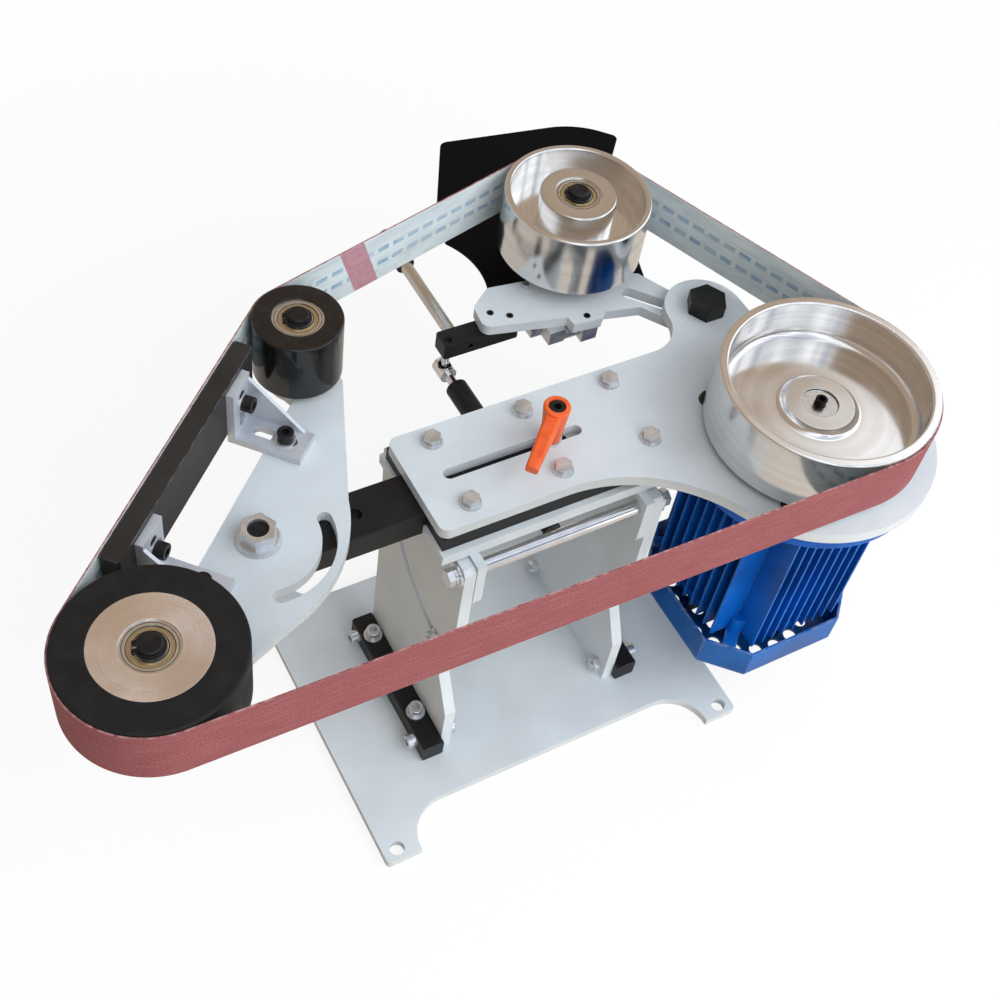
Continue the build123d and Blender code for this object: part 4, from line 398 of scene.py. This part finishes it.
def moulded(name, dark, light, roughness):
    """Moulded plastic: a fine spark texture and slightly paler edges."""
    finish = Finish(name, specular_ior_level=0.4)
    clouds = finish.speckle(10 * mm, 3)
    tone = finish.mix(finish.spread(clouds, *noise_range), dark, light)
    paler = finish.math("MULTIPLY", finish.edges(0.9 * mm), 0.3)
    finish.set("base_color", finish.mix(paler, tone, light))
    finish.set("roughness", finish.spread(clouds, *noise_range, roughness - 0.06, roughness + 0.08))
    finish.round_edges(0.5 * mm)
    finish.bump(finish.speckle(0.45 * mm, 2), 0.02 * mm)
    return finish.material


def orange_plastic():
    return moulded("orange_plastic", (0.72, 0.085, 0.012), (0.87, 0.15, 0.03), roughness=0.36)


def black_plastic():
    return moulded("black_plastic", (0.010, 0.010, 0.011), (0.03, 0.03, 0.03), roughness=0.45)


belt_low, belt_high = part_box("sanding_belt")
belt_width = belt_high.z - belt_low.z


def belt_frayed_edge(finish, across):
    """1 on the outermost threads of the belt, broken up along it."""
    from_edge = finish.math("MINIMUM", across, finish.math("SUBTRACT", belt_width, across))
    threads = finish.spread(finish.speckle(1.5 * mm, 3, (3, 1, 1)), 0.4, 0.65)
    return finish.math("MULTIPLY", finish.spread(from_edge, 0.7 * mm, 0.1 * mm), threads)


def abrasive_grain(splice):
    """Dusty red grain on the outside of the belt, with faint streaks and the line of the splice."""
    finish = Finish("abrasive_grain", specular_ior_level=0.3)
    finish.place = finish.add("TexCoord").outputs["UV"]
    parts = finish.add("SeparateXYZ", {0: finish.place})
    along, across = parts.outputs["X"], parts.outputs["Y"]
    grains = finish.speckle(1.1 * mm, 3)
    streaks = finish.speckle(2.5 * mm, 4, (14, 1, 1))
    clouds = finish.speckle(26 * mm, 4)
    specks = finish.speckle(1.6 * mm, 2)
    tone = finish.mix(finish.spread(grains, 0.3, 0.72), (0.18, 0.05, 0.056), (0.39, 0.138, 0.15))
    tone = finish.mix(finish.spread(streaks, 0.45, 0.8, 0, 0.35), tone, (0.50, 0.20, 0.20))
    tone = finish.mix(finish.spread(clouds, 0.4, 0.75, 0, 0.4), tone, (0.27, 0.07, 0.075))
    tone = finish.mix(finish.spread(specks, 0.68, 0.74, 0, 0.6), tone, (0.16, 0.035, 0.035))
    tone = finish.mix(finish.band(along, splice, 0.4 * mm, 0.3 * mm), tone, (0.14, 0.035, 0.035))
    finish.set("base_color", finish.mix(belt_frayed_edge(finish, across), tone, (0.46, 0.25, 0.245)))
    finish.set("roughness", finish.spread(grains, *noise_range, 0.9, 0.65))
    finish.bump(grains, 0.14 * mm)
    return finish.material


def belt_cloth(splice):
    """Woven backing on the inside of the belt: pale threads, rows of faded dashes and a taped splice."""
    finish = Finish("belt_cloth", specular_ior_level=0.3, sheen_weight=0.15)
    finish.place = finish.add("TexCoord").outputs["UV"]
    parts = finish.add("SeparateXYZ", {0: finish.place})
    along, across = parts.outputs["X"], parts.outputs["Y"]
    thread = 0.7 * mm
    warp = finish.math("SINE", finish.math("MULTIPLY", across, 2 * pi / thread))
    weft = finish.math("SINE", finish.math("MULTIPLY", along, 2 * pi / thread))
    weave = finish.math("MULTIPLY", warp, weft)
    clouds = finish.speckle(18 * mm, 4, (3, 1, 1))
    rubbed = finish.speckle(4 * mm, 4, (5, 1, 1))
    tone = finish.mix(finish.spread(clouds, *noise_range), (0.55, 0.65, 0.69), (0.72, 0.81, 0.84))
    tone = finish.mix(finish.spread(rubbed, 0.5, 0.75, 0, 0.4), tone, (0.38, 0.40, 0.41))
    tone = finish.mix(finish.spread(weave, -1, 1, 0.14, 0), tone, (0.30, 0.32, 0.34))
    dash_pitch, dash_length, dash_height = 16 * mm, 11 * mm, 4.5 * mm
    place_in_pitch = finish.math("FLOORED_MODULO", along, dash_pitch)
    dash = finish.band(place_in_pitch, dash_pitch / 2, dash_length / 2, 0.4 * mm)
    upper_row = finish.band(across, belt_width * 0.64, dash_height / 2, 0.4 * mm)
    lower_row = finish.band(across, belt_width * 0.36, dash_height / 2, 0.4 * mm)
    rows = finish.math("MULTIPLY", finish.math("MAXIMUM", upper_row, lower_row), dash)
    faded = finish.math("MULTIPLY", rows, finish.spread(rubbed, 0.35, 0.7, 0.75, 0.15))
    tone = finish.mix(faded, tone, (0.06, 0.25, 0.44))
    slant = finish.math("MULTIPLY", finish.math("SUBTRACT", across, belt_width / 2), 0.35)
    tape = finish.band(finish.math("ADD", along, slant), splice, 12 * mm, 0.6 * mm)
    mottled = finish.mix(finish.speckle(6 * mm, 4), (0.33, 0.13, 0.19), (0.58, 0.34, 0.38))
    tone = finish.mix(tape, tone, mottled)
    finish.set("base_color", finish.mix(belt_frayed_edge(finish, across), tone, (0.70, 0.66, 0.64)))
    finish.set("roughness", finish.spread(clouds, *noise_range, 0.7, 0.9))
    finish.bump(weave, 0.05 * mm)
    return finish.material


bearing_shield_inside = 11.6 * mm
bearing_shield_outside = 15.6 * mm
bearing_rim = 18 * mm


def wheel_bearing(axis):
    return bearing_steel(axis, bearing_shield_inside, bearing_shield_outside, bearing_rim)


drive_screw_head = 5 * mm
handle_grip_length = 42 * mm
handle_grip_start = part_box("release_handle")[1].y - handle_grip_length
polished = {"dark": (0.68, 0.67, 0.66), "light": (0.84, 0.835, 0.83), "roughness": 0.15, "anisotropy": 0.35}
# The pinkish tint of the faced hub's colours is a painted reflection; the metal itself is a pale neutral
# tone
faced_pink_reflection = {"dark": (0.82, 0.755, 0.72), "light": (0.94, 0.885, 0.855), "roughness": 0.25, "anisotropy": 0.75}
faced_rings = {"ring": 0.4 * mm, "depth": 0.005 * mm}
finishes = {
    "grey_paint": grey_paint(),
    "black_paint": black_paint(),
    "blue_paint": blue_paint(),
    "zinc_steel": zinc_steel(),
    "chrome_steel": chrome_steel(),
    "stainless_steel": stainless_steel(),
    "machine_steel": machine_steel(),
    "black_oxide_steel": black_oxide_steel(),
    "satin_aluminium": satin_aluminium(),
    "black_rubber": black_rubber(),
    "gloss_black": gloss_black(),
    "orange_plastic": orange_plastic(),
    "black_plastic": black_plastic(),
}
node_finishes = {
    "contact_bearings": wheel_bearing(contact_axis),
    "idler_bearings": wheel_bearing(idler_axis),
    "tracking_bearings": wheel_bearing(tracking_axis),
    "motor_bearings": wheel_bearing(drive_axis),
    "drive_wheel": turned_metal("drive_wheel", drive_axis, **polished),
    "tracking_wheel": turned_metal("tracking_wheel", tracking_axis, **polished),
    "contact_wheel_hub": turned_metal("contact_wheel_hub", contact_axis, **faced_pink_reflection, **faced_rings),
    "drive_wheel_screw": drive_screw_steel(drive_axis, drive_screw_head),
    "tracking_arm_screws": finishes["black_oxide_steel"],
    "release_handle": handle_steel(handle_grip_start),
    "platen_brackets": cast_brackets(),
    "platen_bar": platen_paint(),
    "guard_plate": guard_paint(),
    "motor_cowl": worn_blue_paint(),
}
for name, node in nodes.items():
    slot = node.material_slots[0].material.name
    if name in node_finishes:
        node.material_slots[0].material = node_finishes[name]
    elif slot in finishes:
        node.material_slots[0].material = finishes[slot]


# Belt: the loop around the four wheels, cut where it passes from one body to the next
belt_thickness = 1.2 * mm
belt_gap = 0.3 * mm
belt_line = belt_gap + belt_thickness / 2
arc_step = radians(2)
run_step = 5 * mm
wheels = {
    "contact": (contact_axis.xy, radius_of("contact_wheel_tyre") + belt_line),
    "idler": (idler_axis.xy, radius_of("idler_wheel") + belt_line),
    "tracking": (tracking_axis.xy, radius_of("tracking_wheel") + belt_line),
    "drive": (drive_axis.xy, radius_of("drive_wheel") + belt_line),
}
loop = ["contact", "idler", "tracking", "drive"]


def run_normal(first, second):
    """Outward direction of the straight run from one wheel to the next."""
    (place_a, radius_a), (place_b, radius_b) = wheels[first], wheels[second]
    along = place_b - place_a
    lean = (radius_a - radius_b) / along.length
    along.normalize()
    left = Vector((-along.y, along.x))
    return left * (1 - lean**2) ** 0.5 + along * lean


def run_stations(first, second, start=0.0, end=1.0):
    """Points of the belt's middle line, with outward directions, over a share of a straight run."""
    normal = run_normal(first, second)
    tail = wheels[first][0] + normal * wheels[first][1]
    head = wheels[second][0] + normal * wheels[second][1]
    count = max(2, round((head - tail).length * (end - start) / run_step))
    shares = [start + (end - start) * step / count for step in range(count + 1)]
    return [(tail.lerp(head, share), normal) for share in shares]


def wrap_stations(wheel):
    """Points of the belt's middle line around a wheel, clockwise seen from above."""
    at = loop.index(wheel)
    arriving = run_normal(loop[at - 1], wheel)
    leaving = run_normal(wheel, loop[(at + 1) % len(loop)])
    start = atan2(arriving.y, arriving.x)
    turn = (start - atan2(leaving.y, leaving.x)) % (2 * pi)
    count = round(turn / arc_step)
    place, radius = wheels[wheel]
    angles = [start - turn * step / count for step in range(count + 1)]
    normals = [Vector((cos(angle), sin(angle))) for angle in angles]
    return [(place + normal * radius, normal) for normal in normals]


def joined(*stretches):
    stations = list(stretches[0])
    for stretch in stretches[1:]:
        stations += stretch[1:]
    return stations


def smooth_with_sharp_edges(mesh, limit=radians(40)):
    shape = bmesh.new()
    shape.from_mesh(mesh)
    bmesh.ops.recalc_face_normals(shape, faces=shape.faces)
    for face in shape.faces:
        face.smooth = True
    for edge in shape.edges:
        edge.smooth = edge.calc_face_angle(0) < limit
    shape.to_mesh(mesh)
    shape.free()


def stretch_length(stations):
    return sum((after[0] - before[0]).length for before, after in zip(stations, stations[1:]))


# Place of the splice, in metres along the belt from the contact wheel
splice_share = 0.33
to_idler = joined(wrap_stations("contact"), run_stations("contact", "idler"), wrap_stations("idler"))
splice = stretch_length(to_idler) + stretch_length(run_stations("idler", "tracking")) * splice_share
abrasive = abrasive_grain(splice)
cloth = belt_cloth(splice)


def belt_piece(name, stations, travelled):
    """A closed strip along the stations: grain outside, cloth inside, with its map in metres."""
    ring = 4
    inner_side = 2
    grain_slot, cloth_slot = 0, 1
    points = []
    lengths = []
    length = travelled
    for number, (place, normal) in enumerate(stations):
        if number:
            length += (place - stations[number - 1][0]).length
        lengths.append(length)
        outer = place + normal * belt_thickness / 2
        inner = place - normal * belt_thickness / 2
        corners = [(outer, belt_low.z), (outer, belt_high.z), (inner, belt_high.z), (inner, belt_low.z)]
        points += [(flat.x, flat.y, height) for flat, height in corners]
    faces = []
    face_slots = []
    for number in range(len(stations) - 1):
        for side in range(ring):
            after = (side + 1) % ring
            first, second = number * ring, (number + 1) * ring
            faces.append((first + side, first + after, second + after, second + side))
            face_slots.append(cloth_slot if side == inner_side else grain_slot)
    last = (len(stations) - 1) * ring
    faces += [tuple(range(ring)), tuple(last + side for side in reversed(range(ring)))]
    face_slots += [grain_slot, grain_slot]
    mesh = bpy.data.meshes.new(name)
    mesh.from_pydata(points, [], faces)
    mesh.materials.append(abrasive)
    mesh.materials.append(cloth)
    for polygon, face_slot in zip(mesh.polygons, face_slots):
        polygon.material_index = face_slot
    layer = mesh.uv_layers.new(name="belt_lengths")
    for loop_corner in mesh.loops:
        vertex = loop_corner.vertex_index
        layer.data[loop_corner.index].uv = (lengths[vertex // ring], points[vertex][2] - belt_low.z)
    smooth_with_sharp_edges(mesh)
    piece = bpy.data.objects.new(name, mesh)
    scene.collection.objects.link(piece)
    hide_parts("sanding_belt")
    return piece, length


# Shares of the straight runs at which the belt passes from one body to the next
rear_to_tool_arm = 0.35
rear_to_head = 0.6
rear_to_arm = 0.8
rear_to_carrier = 0.92
right_to_arm = 0.15
front_to_tool_arm = 0.5


def rear_run(start, end):
    return run_stations("idler", "tracking", start, end)


def right_run(start, end):
    return run_stations("tracking", "drive", start, end)


def front_run(start, end):
    return run_stations("drive", "contact", start, end)


# Stretches in order round the loop: stations, the body or two bodies that carry them, what they rest on
over_tracking = joined(rear_run(rear_to_carrier, 1), wrap_stations("tracking"))
on_tracking = ["tracking_wheel"]
on_drive = ["drive_wheel"]
arm_and_carrier = ["tracking_arm", "tracking_carrier"]
carrier_and_arm = ["tracking_carrier", "tracking_arm"]
belt_stretches = {
    "belt_on_platen": (to_idler, ["platen_arm"], ["contact_wheel_tyre", "idler_wheel", "platen_bar"]),
    "belt_rear_1": (rear_run(0, rear_to_tool_arm), ["platen_arm", "tool_arm"], ["idler_wheel"]),
    "belt_rear_2": (rear_run(rear_to_tool_arm, rear_to_head), ["tool_arm", "head"], ["idler_wheel"]),
    "belt_rear_3": (rear_run(rear_to_head, rear_to_arm), ["head", "tracking_arm"], on_tracking),
    "belt_rear_4": (rear_run(rear_to_arm, rear_to_carrier), arm_and_carrier, on_tracking),
    "belt_on_tracking": (over_tracking, ["tracking_carrier"], on_tracking),
    "belt_right_1": (right_run(0, right_to_arm), carrier_and_arm, on_tracking),
    "belt_right_2": (right_run(right_to_arm, 1), ["tracking_arm", "head"], on_drive),
    "belt_on_drive": (wrap_stations("drive"), ["head"], on_drive),
    "belt_front_1": (front_run(0, front_to_tool_arm), ["head", "tool_arm"], on_drive),
    "belt_front_2": (front_run(front_to_tool_arm, 1), ["tool_arm", "platen_arm"], ["contact_wheel_tyre"]),
}
travelled = 0.0
for name, (stations, carriers, rests_on) in belt_stretches.items():
    piece, travelled = belt_piece(name, stations, travelled)
    if len(carriers) == 1:
        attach(piece, carriers[0])
    else:
        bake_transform(piece)


# Floor, light and camera
def studio_floor():
    """Matt and tan to the object, white to the camera, and partly white to what mirrors it."""
    half = 12.0
    shadow_reach, fade_end = 0.5, 1.3
    near_white, far_white = 0.82, 1.0
    mirror_white = 0.3
    bounce = (0.55, 0.46, 0.365)
    mesh = bpy.data.meshes.new("floor")
    corners = [(-half, -half, 0), (half, -half, 0), (half, half, 0), (-half, half, 0)]
    mesh.from_pydata(corners, [], [(0, 1, 2, 3)])
    material = bpy.data.materials.new("floor")
    material.use_nodes = True
    tree = Nodes(material.node_tree)
    tree.tree.nodes.remove(tree.tree.nodes["Principled BSDF"])
    path = tree.add("LightPath")
    place = tree.add("TexCoord").outputs["Object"]
    away = tree.add("VectorMath", {0: place}, operation="LENGTH").outputs["Value"]
    camera_white = tree.spread(away, shadow_reach, fade_end, near_white, far_white)
    to_camera = tree.math("MULTIPLY", path.outputs["Is Camera Ray"], camera_white)
    mirrored = tree.math("MAXIMUM", path.outputs["Is Glossy Ray"], path.outputs["Is Transmission Ray"])
    to_gloss = tree.math("MULTIPLY", mirrored, mirror_white)
    tone = tree.mix(path.outputs["Is Camera Ray"], bounce, (0.95, 0.95, 0.95))
    matt = tree.add("BsdfDiffuse", {"Color": tone})
    white = tree.add("Emission", {"Color": (1, 1, 1), "Strength": 1.0})
    share = tree.math("MAXIMUM", to_camera, to_gloss)
    both = tree.add("MixShader", {0: share, 1: matt.outputs[0], 2: white.outputs[0]})
    tree.feed(tree.tree.nodes["Material Output"].inputs["Surface"], both.outputs[0])
    mesh.materials.append(material)
    floor = bpy.data.objects.new("floor", mesh)
    scene.collection.objects.link(floor)


def studio_world():
    """White to the camera, and otherwise a room: windows in front, warm walls and a tan ceiling behind."""
    day_side = (0.65, -0.3, 0.7)
    window_side = (0.55, -0.66, 0.51)
    warm_light, day_light = (0.40, 0.30, 0.21), (0.66, 0.70, 0.745)
    wall, ceiling, shade = (0.74, 0.71, 0.67), (0.48, 0.37, 0.275), (0.24, 0.20, 0.17)
    bright_pane, dim_pane = (1.7, 1.75, 1.8), (0.72, 0.78, 0.92)
    world = bpy.data.worlds.new("studio")
    world.use_nodes = True
    scene.world = world
    tree = Nodes(world.node_tree)
    path = tree.add("LightPath")
    direction = tree.add("TexCoord").outputs["Generated"]
    rise = tree.add("SeparateXYZ", {0: direction}).outputs["Z"]
    to_day = tree.add("VectorMath", {0: direction, 1: day_side}, operation="DOT_PRODUCT")
    to_window = tree.add("VectorMath", {0: direction, 1: window_side}, operation="DOT_PRODUCT")
    ambient = tree.mix(tree.spread(to_day.outputs["Value"], -0.5, 0.6), warm_light, day_light)
    room = tree.mix(tree.spread(rise, 0.0, 0.4), wall, ceiling)
    patches = tree.noise(direction, 0.4, 1)
    room = tree.mix(tree.spread(patches, 0.52, 0.66, 0, 0.3), room, shade)
    streaks = tree.noise(tree.vector("MULTIPLY", direction, (1, 1, 0.1)), 0.16, 0)
    panes = tree.mix(tree.spread(streaks, 0.44, 0.56), bright_pane, dim_pane)
    room = tree.mix(tree.spread(to_window.outputs["Value"], 0.37, 0.47), room, panes)
    mirrored = tree.math("MAXIMUM", path.outputs["Is Glossy Ray"], path.outputs["Is Transmission Ray"])
    light = tree.mix(mirrored, ambient, room)
    tone = tree.mix(path.outputs["Is Camera Ray"], light, (1, 1, 1))
    tree.feed(tree.tree.nodes["Background"].inputs["Color"], tone)
    tree.feed(tree.tree.nodes["Background"].inputs["Strength"], 1.0)


def softbox(name, place, target, size, power):
    lamp = bpy.data.lights.new(name, "AREA")
    lamp.shape = "RECTANGLE"
    lamp.size, lamp.size_y = size
    lamp.energy = power
    holder = bpy.data.objects.new(name, lamp)
    scene.collection.objects.link(holder)
    holder.visible_glossy = False
    holder.location = place
    holder.rotation_euler = (Vector(target) - Vector(place)).to_track_quat("-Z", "Y").to_euler()


def photo_camera():
    """Camera solved from the plates' edges, the bolt patterns and the wheels."""
    place = Vector((-0.45308, -0.57307, 1.16016))
    forward = Vector((0.3717, 0.4924, -0.7869)).normalized()
    right = forward.cross(Vector((0.3139, 0.7311, 0.6057))).normalized()
    up = right.cross(forward)
    data = bpy.data.cameras.new("camera")
    data.sensor_width = 36
    data.lens = 52.4725
    camera = bpy.data.objects.new("camera", data)
    scene.collection.objects.link(camera)
    turn = Matrix((right, up, -forward)).transposed().to_4x4()
    camera.matrix_world = Matrix.Translation(place) @ turn
    scene.camera = camera


studio_floor()
studio_world()
middle = Vector((0, 0, 0.25))
softbox("window", place=(1.5, -1.1, 1.9), target=middle, size=(1.8, 1.5), power=24)
softbox("skylight", place=(0.0, -1.4, 1.9), target=middle, size=(1.6, 1.2), power=11)
softbox("front", place=(0.35, -2.2, 0.9), target=middle, size=(1.6, 1.0), power=20)
photo_camera()
